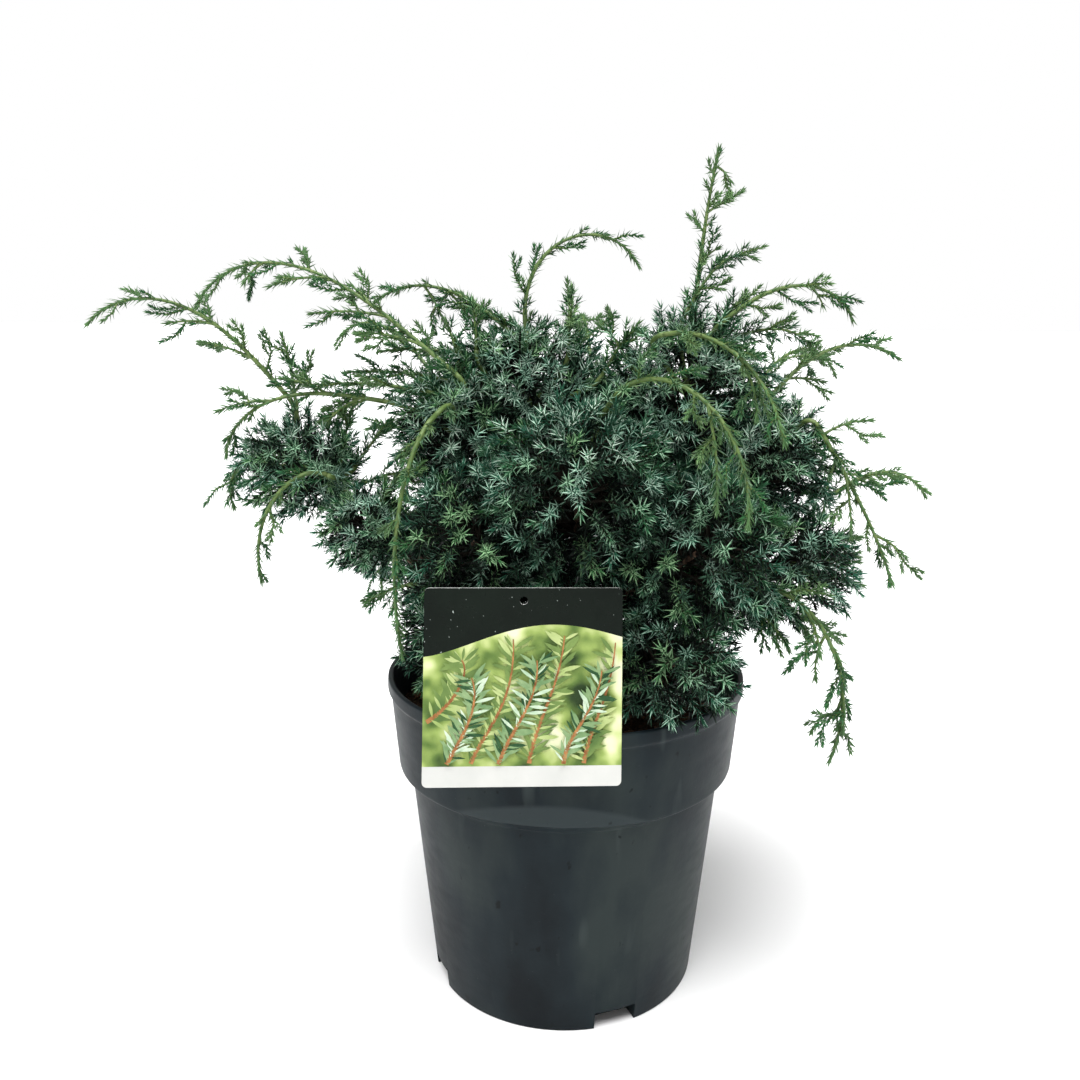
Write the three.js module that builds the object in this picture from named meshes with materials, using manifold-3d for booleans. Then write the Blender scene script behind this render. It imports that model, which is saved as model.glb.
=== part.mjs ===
import * as THREE from "three";
import { mergeVertices } from "three/addons/utils/BufferGeometryUtils.js";
import Module from "manifold-3d";

// A nursery-grown Chinese juniper in its plastic pot, with a plant label hooked over the rim.
// Millimetres, +Z up. The origin is the middle of the pot's flat underside, +X is to the right
// and +Y points away from the side that carries the label.
const wasm = await Module();
wasm.setup();

// Driving dimensions of the pot.
const POT_HEIGHT = 203.7;
const RIM_RADIUS = 124.1;
const LIP_HEIGHT = 10;
const LIP_PROUD = 2.2;
const COLLAR_FOOT_HEIGHT = 144.6;
const COLLAR_FOOT_RADIUS = 115.5;
const WALL_TOP_HEIGHT = 138;
const WALL_TOP_RADIUS = 107.5;
const FOOT_RADIUS = 89.2;
const WALL = 2.5;
const FLOOR = 3;
const POT_SIDES = 32;
const NOTCH = { wide: 28, high: 11, deep: 13, bearings: [22, 112, 202, 292] };

// Driving dimensions of the compost, the label and the trunk.
const COMPOST_TOP = 176;
const COMPOST_MOUND = { radius: 60, rise: 5 };
const LABEL = { wide: 116.5, high: 115.5, thick: 1, corner: 3, lean: 4.2, tilt: -0.3, bearing: 3.5 };
const LABEL_MIDDLE = { across: -32.9, out: 128, height: 236 };
const STRAP = { wide: 30, thick: 1, over: 205, inner: 109, depth: 30 };
const TRUNK = { foot: [4, 2], lean: [0.06, 0.05], top: 292, flare: 16, flareHigh: 26, radius: 9.5, tip: 5 };

// What keeps two solids apart: the fine gap at a joint, the room left round a twig, and the room
// that sprays leave beside the label, behind it, round the pot's rim and over the compost.
const SEAT_GAP = 0.3;
const TWIG_ROOM = 0.5;
const CORE_ROOM = 1;
const LABEL_ROOM = 4;
const BEHIND_LABEL = 2;
const RIM_ROOM = 2;
const COMPOST_ROOM = 1;
const STRAP_ROOM = 3;

// The masses of foliage: the middle and half size of each one's space, the height on the trunk
// where its bough leaves (none where the trunk's own tip carries it) and its number of sprays.
const MASSES = [
  { name: "crown_top", at: [-26, 8, 388], half: [70, 70, 66], bough: null, sprays: 16 },
  { name: "shoulder_left", at: [-78, 2, 368], half: [50, 66, 58], bough: 262, sprays: 14 },
  { name: "shoulder_right", at: [84, 6, 397], half: [70, 66, 65], bough: 272, sprays: 16 },
  { name: "lobe_left", at: [-186, -14, 348], half: [44, 54, 38], bough: 218, sprays: 14 },
  { name: "lobe_left_low", at: [-131, -42, 309], half: [34, 46, 31], bough: 198, sprays: 10 },
  { name: "side_right", at: [137, 4, 346], half: [53, 70, 57], bough: 236, sprays: 14 },
  { name: "side_right_low", at: [142, -40, 288], half: [54, 58, 46], bough: 206, sprays: 12 },
  { name: "front_middle", at: [6, -80, 340], half: [74, 62, 68], bough: 248, sprays: 15 },
  { name: "front_right", at: [82, -78, 304], half: [62, 60, 62], bough: 224, sprays: 14 },
  { name: "front_left", at: [-60, -72, 308], half: [56, 56, 58], bough: 234, sprays: 13 },
  { name: "front_low", at: [20, -58, 262], half: [58, 44, 46], bough: 210, sprays: 12 },
  { name: "rim_right", at: [68, -92, 238], half: [45, 46, 44], bough: 193, sprays: 11 },
  { name: "rim_left", at: [-72, -50, 241], half: [42, 46, 45], bough: 190, sprays: 10 },
  { name: "back_left", at: [-70, 88, 342], half: [58, 68, 68], bough: 242, sprays: 15 },
  { name: "back_middle", at: [18, 112, 346], half: [74, 68, 72], bough: 228, sprays: 15 },
  { name: "back_right", at: [108, 92, 330], half: [74, 68, 68], bough: 254, sprays: 15 },
  { name: "back_left_low", at: [-74, 94, 256], half: [52, 60, 54], bough: 201, sprays: 12 },
  { name: "back_right_low", at: [70, 112, 254], half: [66, 58, 54], bough: 196, sprays: 12 },
];

// The long shoots. Each leaves the mass it grows from at its foot, sets off at the given heading
// (degrees round from +X) and rise, and bends over evenly or late to the second rise.
const SHOOTS = [
  { name: "arch_far_left", mass: "lobe_left", foot: [-195, -10, 396], heading: 185, rise: [49, -53], bend: 2.4,
    length: 161 },
  { name: "arch_left", mass: "shoulder_left", foot: [-76, -30, 413], heading: 166, rise: [38, -63], bend: 2.8,
    length: 228 },
  { name: "arch_left_inner", mass: "crown_top", foot: [-38, 26, 436], heading: 162, rise: [40, -44], bend: 1.8,
    length: 131 },
  { name: "arch_middle", mass: "crown_top", foot: [-30, 4, 441], heading: 10, rise: [97, -64], bend: 1.36,
    length: 136 },
  { name: "leader_tall", mass: "shoulder_right", foot: [90, 10, 470], heading: 10, rise: [84, 78], bend: 1.6,
    length: 101 },
  { name: "arch_right_top", mass: "shoulder_right", foot: [108, -10, 451], heading: -10, rise: [38, -74],
    bend: 1.88, length: 100 },
  { name: "arch_right", mass: "side_right", foot: [146, 0, 402], heading: 12, rise: [47, -35], bend: 1.42,
    length: 103 },
  { name: "arch_front_upper", mass: "shoulder_right", foot: [62, -50, 441], heading: -45, rise: [11, -78],
    bend: 1, length: 124 },
  { name: "arch_front", mass: "front_middle", foot: [28, -80, 401], heading: -40, rise: [59, -95], bend: 0.68,
    length: 153 },
  { name: "droop_right", mass: "side_right", foot: [169, -30, 378], heading: -15, rise: [-60, -74], bend: 2.2,
    length: 113 },
  { name: "reach_right", mass: "side_right", foot: [194, 10, 330], heading: 5, rise: [34, -64], bend: 1.56,
    length: 71 },
  { name: "droop_right_low", mass: "side_right_low", foot: [120, -70, 280], heading: -20, rise: [37, -111],
    bend: 0.47, length: 138 },
  { name: "hanging_front", mass: "shoulder_left", foot: [-84, -74, 389], heading: -125, rise: [-14, -104],
    bend: 0.4, length: 157 },
  { name: "arch_left_low", mass: "shoulder_left", foot: [-126, -20, 393], heading: 192, rise: [10, -89],
    bend: 2.3, length: 124 },
  { name: "droop_left", mass: "lobe_left", foot: [-158, -50, 347], heading: 200, rise: [60, -103], bend: 0.4,
    length: 94 },
  { name: "arch_back_left", mass: "back_left", foot: [-104, 118, 394], heading: 142, rise: [44, -52], bend: 2,
    length: 150 },
  { name: "arch_back", mass: "back_middle", foot: [20, 150, 400], heading: 96, rise: [52, -56], bend: 1.7,
    length: 146 },
  { name: "arch_back_right", mass: "back_right", foot: [146, 128, 384], heading: 40, rise: [42, -60], bend: 1.9,
    length: 138 },
  { name: "droop_back_left", mass: "back_left_low", foot: [-112, 132, 284], heading: 140, rise: [24, -98],
    bend: 0.7, length: 112 },
  { name: "droop_back", mass: "back_right_low", foot: [70, 158, 288], heading: 76, rise: [30, -100], bend: 0.6,
    length: 118 },
];

// A long shoot's stem and its side sprays: how far apart they stand, how far each one reaches near
// the foot and near the tip, and how far its needles stand out from its own slim core.
const SHOOT = { foot: 2.3, tip: 1.1, steps: 7, spacing: 27, reach: [30, 15], core: 0.7, needle: 4.5, end: 7 };
const SHOOT_SPRAY = {
  forward: 0.75, out: 0.62, early: 0.3, stray: 0.4, spare: 0.8, swing: 2.4, vary: [0.8, 1.25],
};
const END_SPRAY = { from: 0.97, narrower: 0.8 };
const SHOOT_PIECES = 24;

// A mass's core, the place where its bough ends, and its sprays, as shares of its half size.
const CORE_SHARE = 0.42;
const NEAR_CORE = 0.25;
const ENTRY_SHARE = 0.74;
const SPRAY_SHARES = { root: 0.32, least: 0.88, shorter: [1, 0.86, 0.72] };
const SPRAY = { core: 2, needle: 9, stray: 0.5, bare: 0.35 };

// A spray's whorls of needles: where the first and last stand along it, how wide they spread there,
// and how far forward their points reach, as shares of its length or of its needle's reach.
const WHORL = { first: 0.3, last: 0.8, wide: [1.1, 0.7], forward: 0.12, neck: 0.8 };

// A bough leaves the trunk sideways and climbs, and comes into its mass head on, by shares of its
// span. It is thicker the longer it is. A stem runs on inside the mass, and a leader to each shoot.
const BOUGH = { leave: 0.4, climb: 0.16, arrive: 0.25, thick: 2.6, thicker: 0.013 };
const STEM = { foot: 2.3, tip: 1.6, leader: 2.4 };
const LEADER = { leave: 0.35, arrive: 0.4 };

// The turn from one spray to the next round its mass, so that they stand evenly on all sides.
const GOLDEN_TURN = Math.PI * (3 - Math.sqrt(5));

// The finishes, named for what they are.
const FINISH = {
  pot: { color: 0x34393b, roughness: 0.55 },
  compost: { color: 0x2a1f17, roughness: 1 },
  label: { color: 0x24352a, roughness: 0.35 },
  bark: { color: 0x6b4b34, roughness: 0.9 },
  foliage: { color: 0x4f7068, roughness: 0.7 },
  shoot: { color: 0x5f8a4d, roughness: 0.7 },
};

const plant = new THREE.Group();

// Add one named solid to the plant, in its own material.
function place(name, finish, solid) {
  const material = new THREE.MeshStandardMaterial({ ...FINISH[finish], metalness: 0 });
  const mesh = new THREE.Mesh(geometryOf(solid), material);
  mesh.name = name;
  plant.add(mesh);
}

// A closed three.js geometry as a solid that can be joined and cut.
function solidOf(geometry) {
  const bare = geometry.index ? geometry.toNonIndexed() : geometry.clone();
  bare.deleteAttribute("normal");
  bare.deleteAttribute("uv");
  const merged = mergeVertices(bare, 1e-3);
  const mesh = new wasm.Mesh({
    numProp: 3,
    vertProperties: merged.attributes.position.array,
    triVerts: new Uint32Array(merged.index.array),
  });
  return new wasm.Manifold(mesh);
}

// The largest body of a solid, as a geometry: any loose scrap is dropped.
function geometryOf(solid) {
  const bodies = solid.decompose().sort((a, b) => b.volume() - a.volume());
  const mesh = bodies[0].getMesh();
  const position = new THREE.BufferAttribute(new Float32Array(mesh.vertProperties), 3);
  return new THREE.BufferGeometry()
    .setAttribute("position", position)
    .setIndex(new THREE.BufferAttribute(new Uint32Array(mesh.triVerts), 1));
}

// Every twig is dealt out by this generator, so the plant grows the same each time.
function dealer(seed) {
  let state = seed * 7919 + 17;
  return () => {
    state = (state * 48271) % 2147483647;
    return state / 2147483647;
  };
}

const UP = new THREE.Vector3(0, 0, 1);
const EAST = new THREE.Vector3(1, 0, 0);
const PLUMB = 0.02;
const vector = (p) => new THREE.Vector3(...p);
const radians = THREE.MathUtils.degToRad;
const mix = THREE.MathUtils.lerp;

// A round solid turned about Z from its half outline, given as [radius, height] pairs.
function turned(outline, sides) {
  const points = outline.map(([r, z]) => new THREE.Vector2(r, z));
  return solidOf(new THREE.LatheGeometry(points, sides).rotateX(Math.PI / 2));
}

// A block that reaches from one radius to another and from one height to another, on a bearing
// counted round from -Y.
function radialBlock(wide, [inner, outer], [bottom, top], bearing) {
  const block = new THREE.BoxGeometry(wide, outer - inner, top - bottom);
  block.translate(0, -(inner + outer) / 2, (bottom + top) / 2);
  return solidOf(block.rotateZ(radians(bearing)));
}

// A limb, tapering by radiusAt along a curve, made from a cylinder bent along it. Its rings keep one
// side square to the upright plane through its two ends, so that it doesn't twist as it bends.
function limb(curve, radiusAt, sides, steps) {
  const geometry = new THREE.CylinderGeometry(1, 1, 1, sides, steps);
  const position = geometry.attributes.position;
  const chord = curve.getPoint(1).sub(curve.getPoint(0));
  const square = chord.clone().cross(UP);
  if (square.length() < PLUMB * chord.length()) square.copy(EAST);
  square.normalize();
  const side = new THREE.Vector3();
  const other = new THREE.Vector3();
  for (let i = 0; i < position.count; i += 1) {
    const t = position.getY(i) + 0.5;
    const along = curve.getTangent(t);
    side.copy(square).addScaledVector(along, -square.dot(along)).normalize();
    other.crossVectors(side, along);
    const point = curve.getPoint(t)
      .addScaledVector(side, position.getX(i) * radiusAt(t))
      .addScaledVector(other, position.getZ(i) * radiusAt(t));
    position.setXYZ(i, point.x, point.y, point.z);
  }
  return solidOf(geometry);
}

// One spray: a slim core with whorls of needles standing out of it and pointing forward.
function spray(root, tip, core, needle, whorls) {
  const length = root.distanceTo(tip);
  const outline = [new THREE.Vector2(0, 0), new THREE.Vector2(core, 0)];
  for (let k = 1; k <= whorls; k += 1) {
    const share = k / (whorls + 1);
    const base = length * mix(WHORL.first, WHORL.last, share);
    outline.push(new THREE.Vector2(needle * mix(...WHORL.wide, share), base + length * WHORL.forward));
    outline.push(new THREE.Vector2(core * WHORL.neck, base));
  }
  outline.push(new THREE.Vector2(0, length));
  const along = tip.clone().sub(root).normalize();
  const turn = new THREE.Quaternion().setFromUnitVectors(new THREE.Vector3(0, 1, 0), along);
  const geometry = new THREE.LatheGeometry(outline, 3, root.x + tip.y);
  return solidOf(geometry.applyQuaternion(turn).translate(root.x, root.y, root.z));
}

// The label's own frame has X across the card, Y up it and Z out of its face.
const labelFrame = new THREE.Matrix4()
  .makeRotationZ(radians(LABEL.bearing))
  .multiply(new THREE.Matrix4().makeTranslation(LABEL_MIDDLE.across, -LABEL_MIDDLE.out, LABEL_MIDDLE.height))
  .multiply(new THREE.Matrix4().makeRotationX(radians(90 - LABEL.lean)))
  .multiply(new THREE.Matrix4().makeRotationZ(radians(LABEL.tilt)));
const cardFromPlant = labelFrame.clone().invert();

// What is already there: round pieces from point to point, each with its node's name.
const taken = [];

function take(node, from, to, radius) {
  taken.push({ node, from, to, radius });
}

function takeCurve(node, curve, radiusAt, steps) {
  const points = curve.getPoints(steps);
  for (let i = 0; i < steps; i += 1) take(node, points[i], points[i + 1], radiusAt(i / steps));
}

// The least distance between two straight pieces.
function apart(a, b, c, d) {
  const u = b.clone().sub(a);
  const v = d.clone().sub(c);
  const w = a.clone().sub(c);
  const uu = u.dot(u);
  const uv = u.dot(v);
  const vv = v.dot(v);
  const uw = u.dot(w);
  const vw = v.dot(w);
  const spread = uu * vv - uv * uv;
  const clamp = (x) => THREE.MathUtils.clamp(x, 0, 1);
  let s = spread > 1e-9 ? clamp((uv * vw - vv * uw) / spread) : 0;
  const t = clamp((uv * s + vw) / vv);
  s = clamp((uv * t - uw) / uu);
  return w.addScaledVector(u, s).addScaledVector(v, -t).length();
}

// How far out a point lies in a mass's space: 1 is on its surface.
function outness(mass, point) {
  const d = point.clone().sub(vector(mass.at)).divide(vector(mass.half));
  return d.length();
}

// A point clear of the pot's rim and wall, the compost and the label.
function clearOfPot(point, radius) {
  const out = Math.hypot(point.x, point.y);
  const onCard = point.clone().applyMatrix4(cardFromPlant);
  const across = Math.abs(onCard.x) < LABEL.wide / 2 + radius + LABEL_ROOM;
  const up = Math.abs(onCard.y) < LABEL.high / 2 + radius + LABEL_ROOM;
  if (across && up && onCard.z > -radius - BEHIND_LABEL) return false;
  if (point.z - radius > POT_HEIGHT + RIM_ROOM) return true;
  const outside = out - radius > RIM_RADIUS + RIM_ROOM;
  const overCompost = point.z - radius > COMPOST_TOP + COMPOST_MOUND.rise + COMPOST_ROOM;
  const inside = out + radius < STRAP.inner - STRAP_ROOM && overCompost;
  return outside || inside;
}

// Whether a new piece of a node is clear of all that the other nodes have.
function clear(node, from, to, radius) {
  for (const t of [0, 0.25, 0.5, 0.75, 1]) {
    const point = from.clone().lerp(to, t);
    if (!clearOfPot(point, radius)) return false;
    for (const mass of MASSES) {
      if (mass.name === node) continue;
      const margin = (radius + TWIG_ROOM + CORE_ROOM) / Math.min(...mass.half);
      if (outness(mass, point) < CORE_SHARE + margin) return false;
    }
  }
  return taken.every(
    (piece) => piece.node === node || apart(from, to, piece.from, piece.to) > radius + piece.radius + TWIG_ROOM,
  );
}

// The pot: one moulded shell with a lip, a collar, a tapering wall and four drainage notches.
const outerWall = [
  [FOOT_RADIUS, 0],
  [WALL_TOP_RADIUS, WALL_TOP_HEIGHT],
  [COLLAR_FOOT_RADIUS, COLLAR_FOOT_HEIGHT],
  [RIM_RADIUS - LIP_PROUD, POT_HEIGHT - LIP_HEIGHT],
  [RIM_RADIUS, POT_HEIGHT - LIP_HEIGHT + LIP_PROUD],
  [RIM_RADIUS, POT_HEIGHT],
];
const innerWall = [
  [RIM_RADIUS - WALL - 1, POT_HEIGHT],
  [COLLAR_FOOT_RADIUS - WALL, COLLAR_FOOT_HEIGHT + WALL],
  [WALL_TOP_RADIUS - WALL, WALL_TOP_HEIGHT + WALL],
  [FOOT_RADIUS - WALL, FLOOR],
];
const potBlank = turned([[0, 0], ...outerWall, [0, POT_HEIGHT]], POT_SIDES);
const beyondFoot = FOOT_RADIUS + 5;
const notchBack = FOOT_RADIUS - NOTCH.deep;
const cornerBlock = (grow, bearing) => radialBlock(
  NOTCH.wide + 2 * (WALL + grow),
  [notchBack - WALL - grow, beyondFoot],
  [FLOOR / 2, NOTCH.high + WALL + grow],
  bearing,
);
let pot = turned([[0, 0], ...outerWall, ...innerWall, [0, FLOOR]], POT_SIDES);
for (const bearing of NOTCH.bearings) {
  const notch = radialBlock(NOTCH.wide, [notchBack, beyondFoot], [-FLOOR, NOTCH.high], bearing);
  pot = pot.add(cornerBlock(0, bearing).intersect(potBlank)).subtract(notch);
}
place("pot", "pot", pot);

// The label: a flat card that leans back over the rim, on a strap bent over the rim and down into
// the compost.
function cardSolid() {
  const [w, h, r] = [LABEL.wide / 2, LABEL.high / 2, LABEL.corner];
  const outline = new THREE.Shape().moveTo(r - w, -h);
  outline.lineTo(w - r, -h).quadraticCurveTo(w, -h, w, r - h);
  outline.lineTo(w, h - r).quadraticCurveTo(w, h, w - r, h);
  outline.lineTo(r - w, h).quadraticCurveTo(-w, h, -w, h - r);
  outline.lineTo(-w, r - h).quadraticCurveTo(-w, -h, r - w, -h);
  const card = new THREE.ExtrudeGeometry(outline, { depth: LABEL.thick, bevelEnabled: false, curveSegments: 2 });
  return solidOf(card.translate(0, 0, -LABEL.thick / 2).applyMatrix4(labelFrame));
}

// The strap's side view is drawn with X out from the pot's axis and Y up, then turned to stand so.
function strapSolid(grow) {
  const atCard = -LABEL_MIDDLE.out - (LABEL_MIDDLE.height - STRAP.over) * Math.tan(radians(LABEL.lean));
  const end = COMPOST_TOP - STRAP.depth - grow;
  const [back, front] = [STRAP.thick - STRAP.inner + grow, -STRAP.inner - grow];
  const side = new THREE.Shape().moveTo(atCard, STRAP.over - grow);
  side.lineTo(front, STRAP.over - grow).lineTo(front, end).lineTo(back, end);
  side.lineTo(back, STRAP.over + STRAP.thick + grow).lineTo(atCard, STRAP.over + STRAP.thick + grow);
  const wide = STRAP.wide + 2 * grow;
  const strap = new THREE.ExtrudeGeometry(side, { depth: wide, bevelEnabled: false });
  strap.translate(0, 0, -wide / 2).rotateX(Math.PI / 2).rotateZ(Math.PI / 2);
  return solidOf(strap.rotateZ(radians(LABEL.bearing)));
}
place("plant_label", "label", cardSolid().add(strapSolid(0)));

// The compost: it fills the pot to a little under the rim, and is mounded round the trunk.
const shoulderRadius = COLLAR_FOOT_RADIUS - WALL - SEAT_GAP
  + ((RIM_RADIUS - 1 - COLLAR_FOOT_RADIUS) * (COMPOST_TOP - COLLAR_FOOT_HEIGHT - WALL))
  / (POT_HEIGHT - COLLAR_FOOT_HEIGHT - WALL);
let compost = turned([
  [0, FLOOR + SEAT_GAP],
  [FOOT_RADIUS - WALL - SEAT_GAP, FLOOR + SEAT_GAP],
  [WALL_TOP_RADIUS - WALL - SEAT_GAP, WALL_TOP_HEIGHT + WALL],
  [COLLAR_FOOT_RADIUS - WALL - SEAT_GAP, COLLAR_FOOT_HEIGHT + WALL + SEAT_GAP],
  [shoulderRadius, COMPOST_TOP],
  [COMPOST_MOUND.radius, COMPOST_TOP],
  [COMPOST_MOUND.radius / 2, COMPOST_TOP + COMPOST_MOUND.rise],
  [0, COMPOST_TOP + COMPOST_MOUND.rise],
], POT_SIDES);
for (const bearing of NOTCH.bearings) compost = compost.subtract(cornerBlock(SEAT_GAP, bearing));
place("compost", "compost", compost.subtract(strapSolid(SEAT_GAP)));

// The trunk: flared at its foot, cut flat on the compost, and leaning a little to the right.
const trunkFoot = COMPOST_TOP + COMPOST_MOUND.rise + SEAT_GAP;
const trunkPoint = (height) => new THREE.Vector3(
  TRUNK.foot[0] + TRUNK.lean[0] * (height - trunkFoot),
  TRUNK.foot[1] + TRUNK.lean[1] * (height - trunkFoot),
  height,
);
const trunkStart = trunkFoot - 3;
const trunkLine = (grow) => new THREE.LineCurve3(trunkPoint(trunkStart), trunkPoint(TRUNK.top + grow));
const trunkRadius = (grow) => (t) => {
  const flare = Math.max(0, 1 - (t * (TRUNK.top - trunkStart)) / TRUNK.flareHigh);
  return mix(TRUNK.radius, TRUNK.tip, t) + (TRUNK.flare - TRUNK.radius) * flare ** 2 + grow;
};
place("trunk", "bark", limb(trunkLine(0), trunkRadius(0), 8, 9).trimByPlane([0, 0, 1], trunkFoot));
takeCurve("trunk", trunkLine(0), trunkRadius(0), 9);
const trunkGrown = limb(trunkLine(SEAT_GAP), trunkRadius(SEAT_GAP), 8, 9);

// The boughs: each climbs away from the trunk to the near side of its mass, where it ends.
for (const mass of MASSES) {
  const middle = vector(mass.at);
  const from = trunkPoint(mass.bough ?? TRUNK.top);
  const inward = from.clone().sub(middle);
  mass.entry = middle.clone().addScaledVector(inward, ENTRY_SHARE / outness(mass, from));
  if (mass.bough === null) {
    mass.entry = from;
    mass.stemRadius = TRUNK.tip;
    continue;
  }
  mass.stemRadius = STEM.foot;
  const span = from.distanceTo(mass.entry);
  const flat = mass.entry.clone().sub(from).setZ(0).normalize();
  const leave = from.clone().addScaledVector(flat, span * BOUGH.leave);
  leave.z += span * BOUGH.climb;
  const arrive = mass.entry.clone().addScaledVector(inward.normalize(), span * BOUGH.arrive);
  const curve = new THREE.CubicBezierCurve3(from, leave, arrive, mass.entry);
  const thick = BOUGH.thick + span * BOUGH.thicker;
  const radiusAt = (t) => mix(thick, STEM.foot, t);
  place("bough_" + mass.name, "bark", limb(curve, radiusAt, 5, 4).subtract(trunkGrown));
  takeCurve("bough_" + mass.name, curve, radiusAt, 10);
  mass.entry.addScaledVector(inward, -SEAT_GAP);
}

// The line of a long shoot, worked out from its foot, heading, rises, bend and length.
function shootLine(shoot) {
  const point = vector(shoot.foot);
  const points = [point.clone()];
  for (let i = 0; i < SHOOT_PIECES; i += 1) {
    const t = (i + 0.5) / SHOOT_PIECES;
    const rise = radians(mix(shoot.rise[0], shoot.rise[1], t ** shoot.bend));
    const heading = radians(shoot.heading);
    const step = new THREE.Vector3(
      Math.cos(heading) * Math.cos(rise),
      Math.sin(heading) * Math.cos(rise),
      Math.sin(rise),
    );
    points.push(point.addScaledVector(step, shoot.length / SHOOT_PIECES).clone());
  }
  return new THREE.CatmullRomCurve3(points);
}
const shootRadius = (t) => mix(SHOOT.foot, SHOOT.tip, t);

// Each mass's stem runs from its bough to its middle, and a leader from there to each shoot's foot.
for (const mass of MASSES) {
  const middle = vector(mass.at);
  const stem = new THREE.LineCurve3(mass.entry, middle);
  mass.solids = [limb(stem, (t) => mix(mass.stemRadius, STEM.tip, t), 4, 1)];
  takeCurve(mass.name, stem, () => mass.stemRadius, 2);
}
for (const shoot of SHOOTS) {
  const mass = MASSES.find((m) => m.name === shoot.mass);
  shoot.curve = shootLine(shoot);
  const away = shoot.curve.getTangent(0);
  const end = vector(shoot.foot).addScaledVector(away, -SEAT_GAP);
  const middle = vector(mass.at);
  const swing = middle.distanceTo(end) * LEADER.arrive;
  const leader = new THREE.CubicBezierCurve3(
    middle,
    middle.clone().lerp(end, LEADER.leave),
    end.clone().addScaledVector(away, -swing),
    end,
  );
  mass.solids.push(limb(leader, (t) => mix(STEM.leader, SHOOT.foot, t), 3, 4));
  takeCurve(mass.name, leader, () => STEM.leader, 6);
  takeCurve("shoot_" + shoot.name, shoot.curve, () => SHOOT.foot, 16);
}

// The long shoots: a bare stem with short forward-pointing sprays to either side, and one at its tip.
SHOOTS.forEach((shoot, index) => {
  const deal = dealer(300 + index);
  const node = "shoot_" + shoot.name;
  const solids = [limb(shoot.curve, shootRadius, 3, SHOOT.steps)];
  const count = Math.round(shoot.length / SHOOT.spacing);
  for (let k = 1; k <= count; k += 1) {
    const t = (k - SHOOT_SPRAY.early + SHOOT_SPRAY.stray * deal()) / (count + SHOOT_SPRAY.spare);
    const root = shoot.curve.getPoint(t);
    const along = shoot.curve.getTangent(t);
    const across = new THREE.Vector3().crossVectors(along, UP).normalize();
    const turn = (k % 2 ? 0 : Math.PI) + (deal() - 0.5) * SHOOT_SPRAY.swing;
    const out = across.applyAxisAngle(along, turn);
    const reach = mix(...SHOOT.reach, t) * mix(...SHOOT_SPRAY.vary, deal());
    const forward = root.clone().addScaledVector(along, reach * SHOOT_SPRAY.forward);
    const tip = forward.addScaledVector(out, reach * SHOOT_SPRAY.out);
    if (!clear(node, root.clone().lerp(tip, WHORL.first), tip, SHOOT.needle)) continue;
    solids.push(spray(root, tip, SHOOT.core, SHOOT.needle, 1));
    take(node, root, tip, SHOOT.needle);
  }
  const last = shoot.curve.getPoint(END_SPRAY.from);
  const beyond = last.clone().addScaledVector(shoot.curve.getTangent(1), SHOOT.end);
  solids.push(spray(last, beyond, SHOOT.core, SHOOT.needle * END_SPRAY.narrower, 1));
  place(node, "shoot", solids.reduce((a, b) => a.add(b)));
});

// The masses: sprays stand out of a smaller core evenly on all sides. Core and stem are cut clear
// of every other limb, and a spray is shortened, then left out, where it would touch a neighbour.
MASSES.forEach((mass, index) => {
  const deal = dealer(100 + index);
  const node = "foliage_" + mass.name;
  const middle = vector(mass.at);
  const half = vector(mass.half);
  const core = new THREE.OctahedronGeometry(1, 1).scale(...mass.half.map((h) => h * CORE_SHARE));
  mass.solids.push(solidOf(core.translate(...mass.at)));
  let solid = mass.solids.reduce((a, b) => a.add(b)).subtract(trunkGrown);
  for (const piece of taken.filter((other) => other.node !== mass.name)) {
    const halfway = piece.from.clone().lerp(piece.to, 0.5);
    if (outness(mass, halfway) > CORE_SHARE + NEAR_CORE) continue;
    const line = new THREE.LineCurve3(piece.from, piece.to);
    solid = solid.subtract(limb(line, () => piece.radius + TWIG_ROOM, 6, 1));
  }
  for (let i = 0; i < mass.sprays; i += 1) {
    const height = 1 - (2 * i + 1) / mass.sprays;
    const turn = i * GOLDEN_TURN + deal() * SPRAY.stray;
    const flat = Math.sqrt(1 - height * height);
    const way = new THREE.Vector3(flat * Math.cos(turn), flat * Math.sin(turn), height).multiply(half);
    const reach = mix(SPRAY_SHARES.least, 1, deal());
    const root = middle.clone().addScaledVector(way, SPRAY_SHARES.root);
    for (const share of SPRAY_SHARES.shorter) {
      const tip = middle.clone().addScaledVector(way, share * reach);
      const start = root.clone().lerp(tip, SPRAY.bare);
      if (!clear(mass.name, start, tip, SPRAY.needle)) continue;
      solid = solid.add(spray(root, tip, SPRAY.core, SPRAY.needle, i % 3 ? 2 : 1));
      take(mass.name, start, tip, SPRAY.needle);
      break;
    }
  }
  place(node, "foliage", solid);
});

export default plant;
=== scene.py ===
import math

import bmesh
import bpy
import numpy as np
from mathutils import Matrix, Vector


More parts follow.
